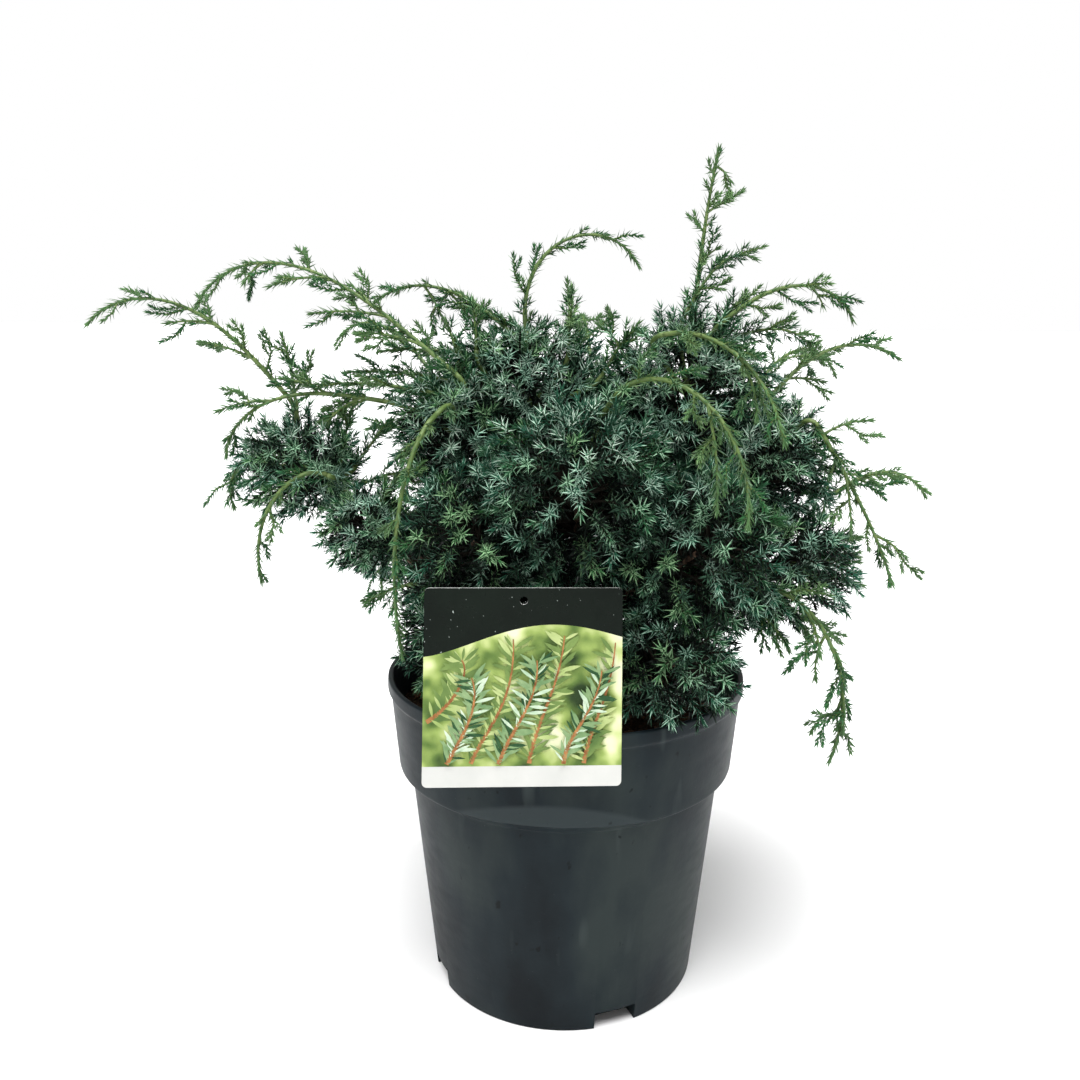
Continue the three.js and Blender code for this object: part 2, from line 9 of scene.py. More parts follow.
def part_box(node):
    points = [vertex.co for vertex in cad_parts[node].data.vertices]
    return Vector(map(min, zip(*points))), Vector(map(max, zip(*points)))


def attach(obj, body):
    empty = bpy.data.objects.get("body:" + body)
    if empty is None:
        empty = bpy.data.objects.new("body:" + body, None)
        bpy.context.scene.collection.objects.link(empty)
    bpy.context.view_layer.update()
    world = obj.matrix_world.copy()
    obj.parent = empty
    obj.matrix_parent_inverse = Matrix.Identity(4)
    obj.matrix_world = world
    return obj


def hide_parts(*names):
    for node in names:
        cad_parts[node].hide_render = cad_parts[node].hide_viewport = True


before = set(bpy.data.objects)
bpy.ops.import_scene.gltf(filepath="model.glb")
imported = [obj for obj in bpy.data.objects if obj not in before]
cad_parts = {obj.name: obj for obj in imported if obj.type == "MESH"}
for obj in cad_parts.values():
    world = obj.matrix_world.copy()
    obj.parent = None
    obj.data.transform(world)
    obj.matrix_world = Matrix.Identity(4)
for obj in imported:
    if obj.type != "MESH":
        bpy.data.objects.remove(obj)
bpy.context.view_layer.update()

MM = 0.001


# The camera. It stands in front of the label, level with the top of the crown, and looks a little
# down, as the photo was taken. Its lens is shifted so that the pot's sides don't lean together.
def stand_camera():
    place = Vector((-0.7, -748.2, 460.5)) * MM
    down, round_by, roll = 0.0470, -0.0051, 0.0091
    photo_width, focal_pixels, film = 1080, 1072.8, 36.0
    forward = Vector((
        math.sin(round_by) * math.cos(down), math.cos(round_by) * math.cos(down), -math.sin(down)))
    level = Vector((math.cos(round_by), -math.sin(round_by), 0.0))
    above = level.cross(forward)
    right = math.cos(roll) * level + math.sin(roll) * above
    up = -math.sin(roll) * level + math.cos(roll) * above
    lens = bpy.data.cameras.new("camera")
    lens.sensor_width = film
    lens.lens = focal_pixels / photo_width * film
    lens.shift_x, lens.shift_y = -0.0205, -0.1722
    lens.clip_start, lens.clip_end = 0.02, 20.0
    camera = bpy.data.objects.new("camera", lens)
    camera.matrix_world = Matrix.LocRotScale(
        place, Matrix((right, up, -forward)).transposed().to_quaternion(), None)
    bpy.context.scene.collection.objects.link(camera)
    bpy.context.scene.camera = camera


stand_camera()


# The studio: a plain pale floor that the pot stands on, white walls under a dimmer ceiling, one
# broad soft light from above and in front, and a weaker lamp at each side.
def light_studio():
    scene = bpy.context.scene
    scene.view_settings.view_transform = "Standard"
    world = bpy.data.worlds.new("surround")
    world.use_nodes = True
    nodes, links = world.node_tree.nodes, world.node_tree.links
    place, parts = nodes.new("ShaderNodeTexCoord"), nodes.new("ShaderNodeSeparateXYZ")
    sky = nodes.new("ShaderNodeValToRGB")
    wall_end, ceiling_start, white, ceiling_grey = 0.34, 0.44, 1.0, 0.1
    for step, up, grey in zip(sky.color_ramp.elements, (wall_end, ceiling_start), (white, ceiling_grey)):
        step.position = up
        step.color = (grey, grey, grey, 1.0)
    links.new(place.outputs["Generated"], parts.inputs["Vector"])
    links.new(parts.outputs["Z"], sky.inputs["Fac"])
    links.new(sky.outputs["Color"], nodes["Background"].inputs["Color"])
    scene.world = world
    aim = Vector((0.0, 0.0, 0.28))
    lamps = (
        ("lamp_above", "SUN", (-0.2, -0.75, 2.6), math.radians(50), 5.4),
        ("lamp_left", "AREA", (-1.6, -0.3, 1.2), 1.2, 4.5),
        ("lamp_right", "AREA", (1.3, -0.3, 1.7), 1.2, 8.2),
    )
    for name, kind, place, size, power in lamps:
        lamp = bpy.data.lights.new(name, kind)
        lamp.energy = power
        if kind == "SUN":
            lamp.angle = size
        else:
            lamp.size = size
        holder = bpy.data.objects.new(name, lamp)
        holder.location = place
        holder.rotation_mode = "QUATERNION"
        holder.rotation_quaternion = (aim - Vector(place)).to_track_quat("-Z", "Y")
        scene.collection.objects.link(holder)
    pale = bpy.data.materials.new("pale floor")
    pale.use_nodes = True
    looks = {"Base Color": (0.92, 0.92, 0.92, 1.0), "Roughness": 0.9, "Specular IOR Level": 0.1}
    for look, value in looks.items():
        pale.node_tree.nodes["Principled BSDF"].inputs[look].default_value = value
    reach = 40.0
    corners = [(-reach, -reach, 0), (reach, -reach, 0), (reach, reach, 0), (-reach, reach, 0)]
    mesh = bpy.data.meshes.new("floor")
    mesh.from_pydata(corners, [], [(0, 1, 2, 3)])
    mesh.materials.append(pale)
    floor = bpy.data.objects.new("floor", mesh)
    scene.collection.objects.link(floor)


light_studio()


# The pot. It is blow-moulded from recycled dark plastic in one shell: a tapering wall, a wide
# collar that stands proud of it, a small lip, and four notches at the foot for draining.
EVEN = (1.0, 1.0, 1.0)


def linear(colour):
    """A screen colour of 0 to 255 as the linear numbers that a shader takes."""
    shares = [value / 255 for value in colour]
    return *(s / 12.92 if s <= 0.04045 else ((s + 0.055) / 1.055) ** 2.4 for s in shares), 1.0


class Finish:
    """A material: one Principled shader and the nodes that feed it."""

    def __init__(self, name, colour, rough, specular=0.5):
        self.material = bpy.data.materials.new(name)
        self.material.use_nodes = True
        self.tree = self.material.node_tree
        self.shader = self.tree.nodes["Principled BSDF"]
        self.show({"Base Color": linear(colour), "Roughness": rough, "Specular IOR Level": specular})

    def feed(self, node, inputs):
        """Give a node its inputs, each a value or another node's output."""
        for socket, value in inputs.items():
            if isinstance(value, bpy.types.NodeSocket):
                self.tree.links.new(value, node.inputs[socket])
            else:
                node.inputs[socket].default_value = value
        return node

    def show(self, inputs):
        self.feed(self.shader, inputs)

    def node(self, kind, inputs, **settings):
        made = self.tree.nodes.new("ShaderNode" + kind)
        for setting, value in settings.items():
            setattr(made, setting, value)
        return self.feed(made, inputs)

    def step(self, kind, first, second):
        """One step of arithmetic on two values."""
        return self.node("Math", {0: first, 1: second}, operation=kind).outputs["Value"]

    def place(self, stretch=EVEN):
        """The place on the object in its own space."""
        place = self.node("TexCoord", {}).outputs["Object"]
        return self.node("Mapping", {"Vector": place, "Scale": stretch}).outputs["Vector"]

    def noise(self, scale, detail=3.0, stretch=EVEN):
        """A noise over the object, in patches of about 1/scale metres."""
        inputs = {"Vector": self.place(stretch), "Scale": scale, "Detail": detail}
        return self.node("TexNoise", inputs).outputs["Fac"]

    def ramp(self, value, stops):
        """Screen colours along a value, given as (place, colour) stops."""
        made = self.node("ValToRGB", {"Fac": value})
        steps = made.color_ramp.elements
        for step, (place, colour) in zip(steps, (stops[0], stops[-1])):
            step.position, step.color = place, linear(colour)
        for place, colour in stops[1:-1]:
            steps.new(place).color = linear(colour)
        return made.outputs["Color"]

    def span(self, value, low, high):
        """A noise's middle range carried over to a range of its own, such as of roughness."""
        ends = {"Value": value, "From Min": 0.3, "From Max": 0.7, "To Min": low, "To Max": high}
        return self.node("MapRange", ends).outputs["Result"]

    def relief(self, height, deep):
        """A bump of so many metres."""
        self.show({"Normal": self.node("Bump", {"Height": height, "Distance": deep}).outputs["Normal"]})

    def laid_over(self, base, share, colour):
        """A second colour laid over the base as far as the share, from 0 to 1, says."""
        inputs = {"Factor": share, "A": base, "B": linear(colour)}
        return self.node("Mix", inputs, data_type="RGBA").outputs["Result"]

    def specked(self, base, scale, stretch, first, last, colour):
        """Specks of a second colour over the base, where a noise rises from first to last."""
        spots = self.noise(scale, 2.0, stretch)
        return self.laid_over(base, self.ramp(spots, ((first, (0, 0, 0)), (last, (255, 255, 255)))), colour)


def patterned(name, colour, specular, noise, stops, rough, deep=0.0):
    """A material whose colour follows one noise, and its roughness and relief too if they vary."""
    made = Finish(name, colour, sum(rough) / len(rough), specular)
    pattern = made.noise(*noise)
    made.show({"Base Color": made.ramp(pattern, stops)})
    if len(rough) == 2:
        made.show({"Roughness": made.span(pattern, *rough)})
    if deep:
        made.relief(pattern, deep)
    return made.material


def tones(dark, pale):
    """The stops of a plain change from a dark tone to a pale one."""
    return (0.3, dark), (0.7, pale)


def piece_of(name, points, faces, materials, smooth=True, kinds=None):
    """A mesh object from points in metres, faces and, where it has several, each face's material."""
    mesh = bpy.data.meshes.new(name)
    mesh.from_pydata([tuple(p) for p in points], [], faces)
    for material in materials:
        mesh.materials.append(material)
    if kinds is not None:
        mesh.polygons.foreach_set("material_index", kinds)
    mesh.polygons.foreach_set("use_smooth", [smooth] * len(mesh.polygons))
    piece = bpy.data.objects.new(name, mesh)
    bpy.context.scene.collection.objects.link(piece)
    return piece


def turned(outline, sides):
    """Points and faces of a closed outline of (radius, height) pairs turned round Z."""
    points, faces = [], []
    count = len(outline)
    for turn in range(sides):
        angle = 2 * math.pi * turn / sides
        points += [(r * math.cos(angle), r * math.sin(angle), z) for r, z in outline]
    for turn in range(sides):
        here, there = turn * count, (turn + 1) % sides * count
        for k in range(count):
            after = (k + 1) % count
            faces.append((here + k, there + k, there + after, here + after))
    return points, faces


def rounded(corners, radius, steps=4):
    """An outline with each corner but the first and last two rounded off."""
    made = list(corners[:1])
    for before, at, after in zip(corners, corners[1:], corners[2:]):
        before, at, after = Vector(before), Vector(at), Vector(after)
        near = min(radius, 0.45 * (before - at).length, 0.45 * (after - at).length)
        start = at + (before - at).normalized() * near
        end = at + (after - at).normalized() * near
        for i in range(steps + 1):
            t = i / steps
            made.append(tuple((1 - t) ** 2 * start + 2 * t * (1 - t) * at + t * t * end))
    return made + list(corners[-1:])


def divided(outline, low, high, step):
    """The outline with its stretches between two heights cut into short steps."""
    made = []
    for at, after in zip(outline, outline[1:] + outline[:1]):
        made.append(at)
        if min(at[1], after[1]) > low and max(at[1], after[1]) < high:
            count = int(math.dist(at, after) / step)
            made += [(at[0] + (after[0] - at[0]) * k / count, at[1] + (after[1] - at[1]) * k / count)
                     for k in range(1, count)]
    return made


DENT = {"deep": 2.6 * MM, "foot": 144.6 * MM, "high": 15 * MM, "middle": -8 * MM, "half": 60 * MM}


def dented_in(x, y, z):
    """How far the foot of the collar is pressed in at a point, as a share of the dent's depth."""
    aside = (x - DENT["middle"]) / DENT["half"]
    across = 1 - aside * aside
    up = max((z - DENT["foot"]) / DENT["high"], 0.0)
    return max(across - up, 0.0) if y < 0 and z > DENT["foot"] - 2 * MM else 0.0


def painted_dent_reflection(plastic):
    """The same dent as a mask over the plastic, where a paler colour is painted on as a reflection of the
    floor.
    """
    x, y, z = plastic.node("SeparateXYZ", {"Vector": plastic.place()}).outputs
    step = plastic.step
    aside = step("DIVIDE", step("SUBTRACT", x, DENT["middle"]), DENT["half"])
    across = step("SUBTRACT", 1.0, step("MULTIPLY", aside, aside))
    up = step("DIVIDE", step("SUBTRACT", z, DENT["foot"]), DENT["high"])
    inside = step("MINIMUM", step("MAXIMUM", step("MULTIPLY", step("SUBTRACT", across, up), 5.0), 0.0), 1.0)
    above = step("GREATER_THAN", z, DENT["foot"] - 1 * MM)
    return step("MULTIPLY", step("MULTIPLY", inside, above), step("LESS_THAN", y, 0.0))


def pot_plastic():
    """Dark recycled plastic: satin, faintly flow-marked, with dull smears, specks and a few scuffs, and a
    paler painted reflection in the collar's dent.
    """
    plastic = Finish("pot plastic", (32, 39, 42), 0.45, 0.09)
    cloud = plastic.noise(14.0, 6.0, (1.0, 1.0, 0.5))
    base = plastic.ramp(cloud, ((0.36, (10, 17, 21)), (0.5, (21, 30, 34)), (0.62, (36, 44, 44))))
    # A paler colour painted into the collar's dent, as a reflection of the floor below it.
    base = plastic.laid_over(base, painted_dent_reflection(plastic), (40, 48, 50))
    base = plastic.specked(base, 900.0, EVEN, 0.75, 0.84, (76, 80, 78))
    base = plastic.specked(base, 70.0, (1.0, 1.0, 0.12), 0.66, 0.84, (50, 58, 58))
    base = plastic.specked(base, 160.0, (1.0, 1.0, 0.6), 0.7, 0.76, (8, 14, 16))
    scuffs = plastic.noise(60.0, 4.0, (1.0, 1.0, 3.0))
    plastic.show({"Base Color": base, "Roughness": plastic.span(scuffs, 0.4, 0.48)})
    plastic.relief(plastic.noise(400.0), 0.00006)
    return plastic.material


def mould_pot():
    rim, _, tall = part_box("pot")[1]
    wall, floor_thick, sides = 2.5 * MM, 3 * MM, 256
    foot, wall_top, wall_top_at = 89.2 * MM, 107.5 * MM, 138 * MM
    collar_foot, collar_foot_at = 115.5 * MM, DENT["foot"]
    lip, lip_proud = 10 * MM, 2.2 * MM
    outside = [
        (0.0, 0.0), (foot - 14 * MM, 0.0), (foot, 0.0), (wall_top, wall_top_at),
        (collar_foot, collar_foot_at - 1.5 * MM), (collar_foot + 0.5 * MM, collar_foot_at),
        (rim - lip_proud, tall - lip), (rim, tall - lip + lip_proud), (rim, tall)]
    inside = [
        (rim - wall - 1 * MM, tall), (collar_foot - wall, collar_foot_at + wall),
        (wall_top - wall, wall_top_at + wall), (foot - wall, floor_thick), (0.0, floor_thick)]
    collar_low, collar_high, step, rounding = collar_foot_at - 2 * MM, tall - lip + 1 * MM, 1 * MM, 1.2 * MM
    outline = divided(rounded(outside + inside, rounding), collar_low, collar_high, step)
    points, faces = turned(outline, sides)
    dented = []
    for x, y, z in points:
        out = math.hypot(x, y)
        keep = 1 - DENT["deep"] * dented_in(x, y, z) / out if out > collar_foot - wall - 1 * MM else 1.0
        dented.append((x * keep, y * keep, z))
    pot = piece_of("pot_shell", dented, faces, [pot_plastic()])
    shell = bmesh.new()
    shell.from_mesh(pot.data)
    bmesh.ops.remove_doubles(shell, verts=shell.verts, dist=0.001 * MM)
    bmesh.ops.delete(shell, geom=[edge for edge in shell.edges if not edge.link_faces], context="EDGES")
    shell.to_mesh(pot.data)
    shell.free()
    notch_wide, notch_high, notch_deep = 28 * MM, 11 * MM, 13 * MM
    notch_bearings = (22, 112, 202, 292)
    for bearing in notch_bearings:
        turn = Matrix.Rotation(math.radians(bearing), 4, "Z")
        for grow, operation in ((wall, "UNION"), (0.0, "DIFFERENCE")):
            back = foot - notch_deep - grow
            front = foot + (6 * MM if grow == 0 else -3 * MM)
            bottom = -5 * MM if grow == 0 else floor_thick / 2
            box = bmesh.new()
            bmesh.ops.create_cube(box, size=1.0)
            size = Vector((notch_wide + 2 * grow, front - back, notch_high + grow - bottom))
            middle = Vector((0.0, -(front + back) / 2, (notch_high + grow + bottom) / 2))
            bmesh.ops.transform(box, matrix=turn @ Matrix.LocRotScale(middle, None, size), verts=box.verts)
            cutter = bpy.data.objects.new("cutter", bpy.data.meshes.new("cutter"))
            box.to_mesh(cutter.data)
            box.free()
            bpy.context.scene.collection.objects.link(cutter)
            change = pot.modifiers.new("notch", "BOOLEAN")
            change.object, change.operation, change.solver = cutter, operation, "EXACT"
            bpy.context.view_layer.update()
            shaped = pot.evaluated_get(bpy.context.evaluated_depsgraph_get())
            pot.data = bpy.data.meshes.new_from_object(shaped)
            pot.modifiers.clear()
            bpy.data.objects.remove(cutter)
    bpy.context.view_layer.objects.active = pot
    pot.select_set(True)
    bpy.ops.object.shade_smooth_by_angle(angle=math.radians(32))
    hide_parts("pot")
    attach(pot, "root")


mould_pot()


# The compost. It is loose, dark and barky, filled to a little under the rim, and settled in a low
# mound round the trunk. Chips of bark lie on it.
COMPOST_LEVEL = 176 * MM


def fill_compost():
    crumbs = patterned(
        "compost", (48, 35, 26), 0.2, (350.0, 6.0),
        ((0.3, (22, 15, 11)), (0.5, (50, 36, 26)), (0.72, (88, 66, 48))), (0.95,), 0.0015)
    grain = patterned(
        "bark chips", (92, 64, 44), 0.3, (260.0, 4.0, (1.0, 4.0, 1.0)),
        tones((56, 36, 24), (124, 90, 62)), (0.85,), 0.0006)
    rings, sides, chips = 46, 180, 520
    mound, mound_reach, edge, bottom = 5 * MM, 60 * MM, 116.5 * MM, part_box("compost")[0].z
    deal = np.random.RandomState(31)
    lumps = [(deal.uniform(8, 190), deal.uniform(8, 190), deal.uniform(0, 6.3), deal.uniform(0, 6.3))
             for _ in range(14)]

    def surface(x, y):
        rough = sum(math.sin(a * x + p) * math.sin(b * y + q) for a, b, p, q in lumps) / len(lumps)
        out = math.hypot(x, y)
        return COMPOST_LEVEL + mound * max(0.0, 1 - out / mound_reach) ** 0.7 + rough * 4 * MM

    sweep = [2 * math.pi * turn / sides for turn in range(sides)]
    points = [(0.0, 0.0, surface(0, 0))]
    for ring in range(1, rings + 1):
        out = edge * ring / rings
        for angle in sweep:
            x, y = out * math.cos(angle), out * math.sin(angle)
            points.append((x, y, surface(x, y) + deal.normal() * 0.7 * MM))
    wall = [(112.7 * MM, 147.4 * MM), (104.7 * MM, 140.5 * MM), (86.4 * MM, 16 * MM), (72 * MM, bottom)]
    for out, height in wall:
        points += [(out * math.cos(angle), out * math.sin(angle), height) for angle in sweep]
    faces = [(0, 1 + t, 1 + (t + 1) % sides) for t in range(sides)]
    for start in range(1, len(points) - sides, sides):
        faces += [(start + t, start + sides + t, start + sides + after, start + after)
                  for t, after in ((t, (t + 1) % sides) for t in range(sides))]
    faces.append(tuple(range(len(points) - 1, len(points) - 1 - sides, -1)))
    compost = piece_of("compost_fill", points, faces, [crumbs])
    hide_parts("compost")
    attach(compost, "root")

    points, faces = [], []
    for _ in range(chips):
        out = edge * 0.97 * math.sqrt(deal.uniform(0.02, 1))
        angle = deal.uniform(0, 2 * math.pi)
        x, y = out * math.cos(angle), out * math.sin(angle)
        size = Vector((deal.uniform(2.5, 9), deal.uniform(1.5, 4), deal.uniform(0.8, 2))) * MM
        turn, tip = Matrix.Rotation(deal.uniform(0, 6.3), 4, "Z"), deal.uniform(-0.5, 0.5)
        place = Matrix.Translation((x, y, surface(x, y) + 0.8 * MM)) @ turn @ Matrix.Rotation(tip, 4, "X")
        start = len(points)
        for z in (-0.5, 0.5):
            for k in range(5):
                spread = deal.uniform(0.35, 0.55)
                corner = Vector((math.cos(k * 1.257) * spread * size.x * 2 * 0.6,
                                 math.sin(k * 1.257) * spread * size.y * 2 * 0.6, z * size.z))
                points.append(place @ corner)
        faces.append(tuple(start + k for k in (4, 3, 2, 1, 0)))
        faces.append(tuple(start + 5 + k for k in range(5)))
        faces += [(start + k, start + (k + 1) % 5, start + 5 + (k + 1) % 5, start + 5 + k)
                  for k in range(5)]
    loose = piece_of("bark_chips", points, faces, [grain], smooth=False)
    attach(loose, "root")


fill_compost()


# The label. It is a plastic card with a punched hole, printed in a dark band, a soft green picture and
# a white foot, and held by a strap that is bent over the rim and pushed down into the compost.
CARD_WIDE, CARD_HIGH, CARD_THICK = 116.5 * MM, 115.5 * MM, 1 * MM
CARD_LEAN, CARD_BEARING, CARD_TILT = math.radians(4.2), math.radians(3.5), math.radians(-0.3)
CARD_MIDDLE = Vector((-32.9, -128, 236)) * MM
CARD = (
    Matrix.Rotation(CARD_BEARING, 4, "Z") @ Matrix.Translation(CARD_MIDDLE)
    @ Matrix.Rotation(math.pi / 2 - CARD_LEAN, 4, "X") @ Matrix.Rotation(CARD_TILT, 4, "Z"))


def card_outline():
    """The card's edge, with its rounded corners, from the lower left round to the upper left."""
    corner, steps, made = 3 * MM, 6, []
    for right, top, start in ((0, 0, math.pi), (1, 0, 1.5 * math.pi), (1, 1, 0.0), (0, 1, 0.5 * math.pi)):
        x = (right - 0.5) * CARD_WIDE + (corner if right == 0 else -corner)
        y = (top - 0.5) * CARD_HIGH + (corner if top == 0 else -corner)
        for i in range(steps + 1):
            angle = start + 0.5 * math.pi * i / steps
            made.append((x + corner * math.cos(angle), y + corner * math.sin(angle)))
    return made


def gloss(name, stops, scale, rough=0.32, splashed=False):
    """A printed face of the card, with a few small pale specks of water on the splashed one."""
    print_on = Finish(name, stops[0][1], rough, 0.12)
    base = print_on.ramp(print_on.noise(scale, 2.0), stops)
    if splashed:
        base = print_on.specked(base, 420.0, EVEN, 0.72, 0.76, (150, 160, 154))
    shine = print_on.span(print_on.noise(300.0), rough - 0.06, rough + 0.08)
    print_on.show({"Base Color": base, "Roughness": shine})
    print_on.relief(print_on.noise(700.0), 0.00003)
    return print_on.material


def print_label():
    band = gloss("label band", tones((2, 9, 4), (7, 17, 10)), 40.0, splashed=True)
    picture = gloss("label picture", (
        (0.3, (40, 58, 30)), (0.4, (84, 108, 52)), (0.5, (136, 156, 84)),
        (0.58, (178, 190, 126)), (0.68, (214, 218, 180))), 46.0, 0.28)
    white = gloss("label foot", tones((186, 187, 183), (194, 194, 190)), 60.0)
    plain = gloss("label back", tones((206, 208, 204), (222, 223, 220)), 60.0)
    outline = card_outline()
    front = CARD_THICK / 2
    foot_line = -CARD_HIGH / 2 + 12 * MM
    waves, turns = 22, 16

    def band_line(x):
        share = x / CARD_WIDE + 0.5
        return CARD_HIGH / 2 - (40 - 16 * math.sin(math.pi * share * 0.8) ** 1.5 - 4 * share) * MM

    across = [(-0.5 + i / waves) * CARD_WIDE for i in range(waves + 1)]
    steps = len(outline) // 4
    lower = outline[:steps] + [(0, -CARD_HIGH / 2)] + outline[steps:2 * steps]
    upper = outline[2 * steps:3 * steps] + [(0, CARD_HIGH / 2)] + outline[3 * steps:]
    right, left = CARD_WIDE / 2, -CARD_WIDE / 2
    hole, hole_middle = 2.4 * MM, CARD_HIGH / 2 - 7.4 * MM
    ring = [(hole * math.sin(angle), hole_middle + hole * math.cos(angle))
            for angle in (2 * math.pi * i / turns for i in range(turns))]
    rim = lower + [(right, foot_line), (right, band_line(right))] + upper + [
        (left, band_line(left)), (left, foot_line)]
    face = [(x, y, front) for x, y in rim]
    inner = [(x, band_line(x), front) for x in across[1:-1]]
    back = [(x, y, -front) for x, y in rim]
    punched = [(x, y, height) for height in (front, -front) for x, y in ring]
    points = [CARD @ Vector(p) for p in face + inner + back + punched]
    count, low = len(rim), len(lower)
    right_foot, right_band = low, low + 1
    left_band, left_foot = count - 2, count - 1
    wave = list(range(count, count + len(inner)))
    back_at = count + len(inner)
    below, above = steps, low + 2 + steps
    hole_at = back_at + count
    right_side = list(range(hole_at, hole_at + turns // 2 + 1))
    left_side = list(range(hole_at + turns // 2, hole_at + turns)) + [hole_at]
    back_right = [back_at + k for k in range(below, above + 1)] + [k + turns for k in right_side]
    back_left = [back_at + k % count for k in range(above, count + below + 1)]
    back_left += [k + turns for k in left_side]
    half_wave = len(wave) // 2
    faces = [
        tuple([left_foot] + list(range(low)) + [right_foot]),
        tuple([left_foot, right_foot, right_band] + wave[::-1] + [left_band]),
        tuple(wave[half_wave:] + [right_band] + list(range(low + 2, above + 1)) + right_side),
        tuple([left_band] + wave[:half_wave + 1] + left_side + list(range(above, count - 2))),
        tuple(reversed(back_right)),
        tuple(reversed(back_left)),
    ]
    for start, gap, around in ((hole_at, turns, turns), (0, back_at, count)):
        for k in range(around):
            here, after = start + k, start + (k + 1) % around
            faces.append((here, here + gap, after + gap, after))
    kinds = [2, 1, 0, 0] + [3] * (len(faces) - 4)
    card = piece_of("label_card", points, faces, [band, picture, white, plain], False, kinds)
    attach(card, "root")
    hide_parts("plant_label")
    return band_line, foot_line


def picture_leaf(x, y, long, wide, turn, height):
    """The outline of one printed leaf on the card, pointed at both ends."""
    made = []
    for i in range(12):
        t = i / 6
        along = (t if t <= 1 else 2 - t) - 0.5
        out = (0.25 - along * along) * 4 * (0.5 if t <= 1 else -0.5)
        px, py = along * long, out * wide
        made.append(CARD @ Vector((
            x + px * math.cos(turn) - py * math.sin(turn),
            y + px * math.sin(turn) + py * math.cos(turn), height)))
    return made


def draw_picture(band_line, foot_line):
    """Brown twigs with narrow leaves, some dull and far, some sharp and near, over blurred greens."""
    tints = [gloss("print " + name, tones(dark, pale), scale) for name, dark, pale, scale in (
        ("far dark", (74, 100, 52), (116, 138, 76), 60.0),
        ("far light", (138, 158, 92), (176, 188, 130), 60.0),
        ("leaf deep", (26, 54, 32), (50, 84, 50), 160.0),
        ("leaf mid", (92, 124, 82), (128, 152, 108), 160.0),
        ("leaf pale", (150, 176, 146), (192, 206, 184), 160.0),
        ("twig", (118, 74, 42), (168, 118, 72), 200.0))]
    deal = np.random.RandomState(7)
    layer, points, faces, kinds = 0.003 * MM, [], [], []
    height = CARD_THICK / 2 + layer
    far = (
        ((-56, -20), (-40, -10), (-30, 8), (-36, 16)), ((-30, -44), (-22, -24), (-4, -10), (-6, 28)),
        ((4, -44), (8, -18), (22, 0), (24, 30)), ((36, -44), (40, -20), (52, -6), (54, 26)))
    near = (
        ((-44, -44), (-34, -26), (-24, -10), (-30, 6)), ((-14, -44), (-6, -22), (10, -8), (8, 16)),
        ((24, -44), (26, -26), (44, -14), (46, 10)))

    def add(outline, kind):
        start = len(points)
        points.extend(outline)
        faces.append(tuple(range(start, start + len(outline))))
        kinds.append(kind)

    def inside(x, y, room):
        return abs(x) < CARD_WIDE / 2 - room and y - room > foot_line and y + room < band_line(x)

    for twigs, leaf, broad, leaves in ((far, 11, 0.2, (0, 0, 1)), (near, 10, 0.17, (2, 3, 3, 4))):
        for control in twigs:
            a, b, c, d = (Vector((x, y)) * MM for x, y in control)
            line = [(1 - t) ** 3 * a + 3 * t * (1 - t) ** 2 * b + 3 * t * t * (1 - t) * c + t ** 3 * d
                    for t in (i / 40 for i in range(41))]
            for i in range(40):
                half = (1.3 - 0.024 * i) * MM
                way = (line[i + 1] - line[i]).normalized()
                side = Vector((-way.y, way.x)) * half
                height += layer
                if inside(line[i].x, line[i].y, 0.5 * MM):
                    add([CARD @ Vector((p.x, p.y, height)) for p in
                         (line[i] - side, line[i + 1] - side, line[i + 1] + side, line[i] + side)], 5)
                for hand in (-1, 1):
                    turn = math.atan2(way.y, way.x) + hand * deal.uniform(0.3, 1.4)
                    long = leaf * deal.uniform(0.7, 1.3) * MM
                    x = line[i].x + math.cos(turn) * long * 0.55
                    y = line[i].y + math.sin(turn) * long * 0.55
                    if inside(x, y, long * 0.5):
                        height += layer
                        add(picture_leaf(x, y, long, long * broad, turn, height), int(deal.choice(leaves)))
    art = piece_of("label_picture", points, faces, tints, False, kinds)
    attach(art, "root")


def bend_strap():
    wide, thick, bend = 30 * MM, 1 * MM, 2.2 * MM
    at_card = -CARD_MIDDLE.y + (CARD_MIDDLE.z - 205 * MM) * math.tan(CARD_LEAN)
    over, down, bottom = 205.5 * MM, 108.5 * MM, COMPOST_LEVEL - 30 * MM
    line = [(at_card, over), (down + thick / 2 + bend, over)]
    line += [(down + bend * (1 - math.sin(angle)), over - bend * (1 - math.cos(angle)))
             for angle in (math.pi / 2 * i / 6 for i in range(1, 6))]
    line += [(down, over - bend), (down, bottom)]
    turn = Matrix.Rotation(CARD_BEARING, 4, "Z")
    points, faces = [], []
    for i, (out, height) in enumerate(line):
        before, after = line[max(i - 1, 0)], line[min(i + 1, len(line) - 1)]
        way = Vector((after[0] - before[0], after[1] - before[1])).normalized()
        across = Vector((-way.y, way.x)) * thick / 2
        for x, side in ((-wide / 2, 1), (wide / 2, 1), (wide / 2, -1), (-wide / 2, -1)):
            points.append(turn @ Vector((x, -(out + across.x * side), height + across.y * side)))
    for i in range(len(line) - 1):
        faces += [(4 * i + k, 4 * i + (k + 1) % 4, 4 * i + 4 + (k + 1) % 4, 4 * i + 4 + k)
                  for k in range(4)]
    last = 4 * (len(line) - 1)
    faces += [(3, 2, 1, 0), (last, last + 1, last + 2, last + 3)]
    white = gloss("label strap", tones((200, 202, 198), (222, 223, 219)), 60.0)
    strap = piece_of("label_strap", points, faces, [white], False)
    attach(strap, "root")


draw_picture(*print_label())
bend_strap()


# The trunk and its boughs. A short flared trunk, leaning a little, sends one tapering bough to each
# mass of foliage, and a thin leader on to each long shoot. The bark is brown and peels in strips.
TRUNK_FOOT, TRUNK_TOP = 181.3, 292.0
ENTRY_SHARE = 0.74
STEM_FOOT, STEM_TIP = 2.3, 1.6

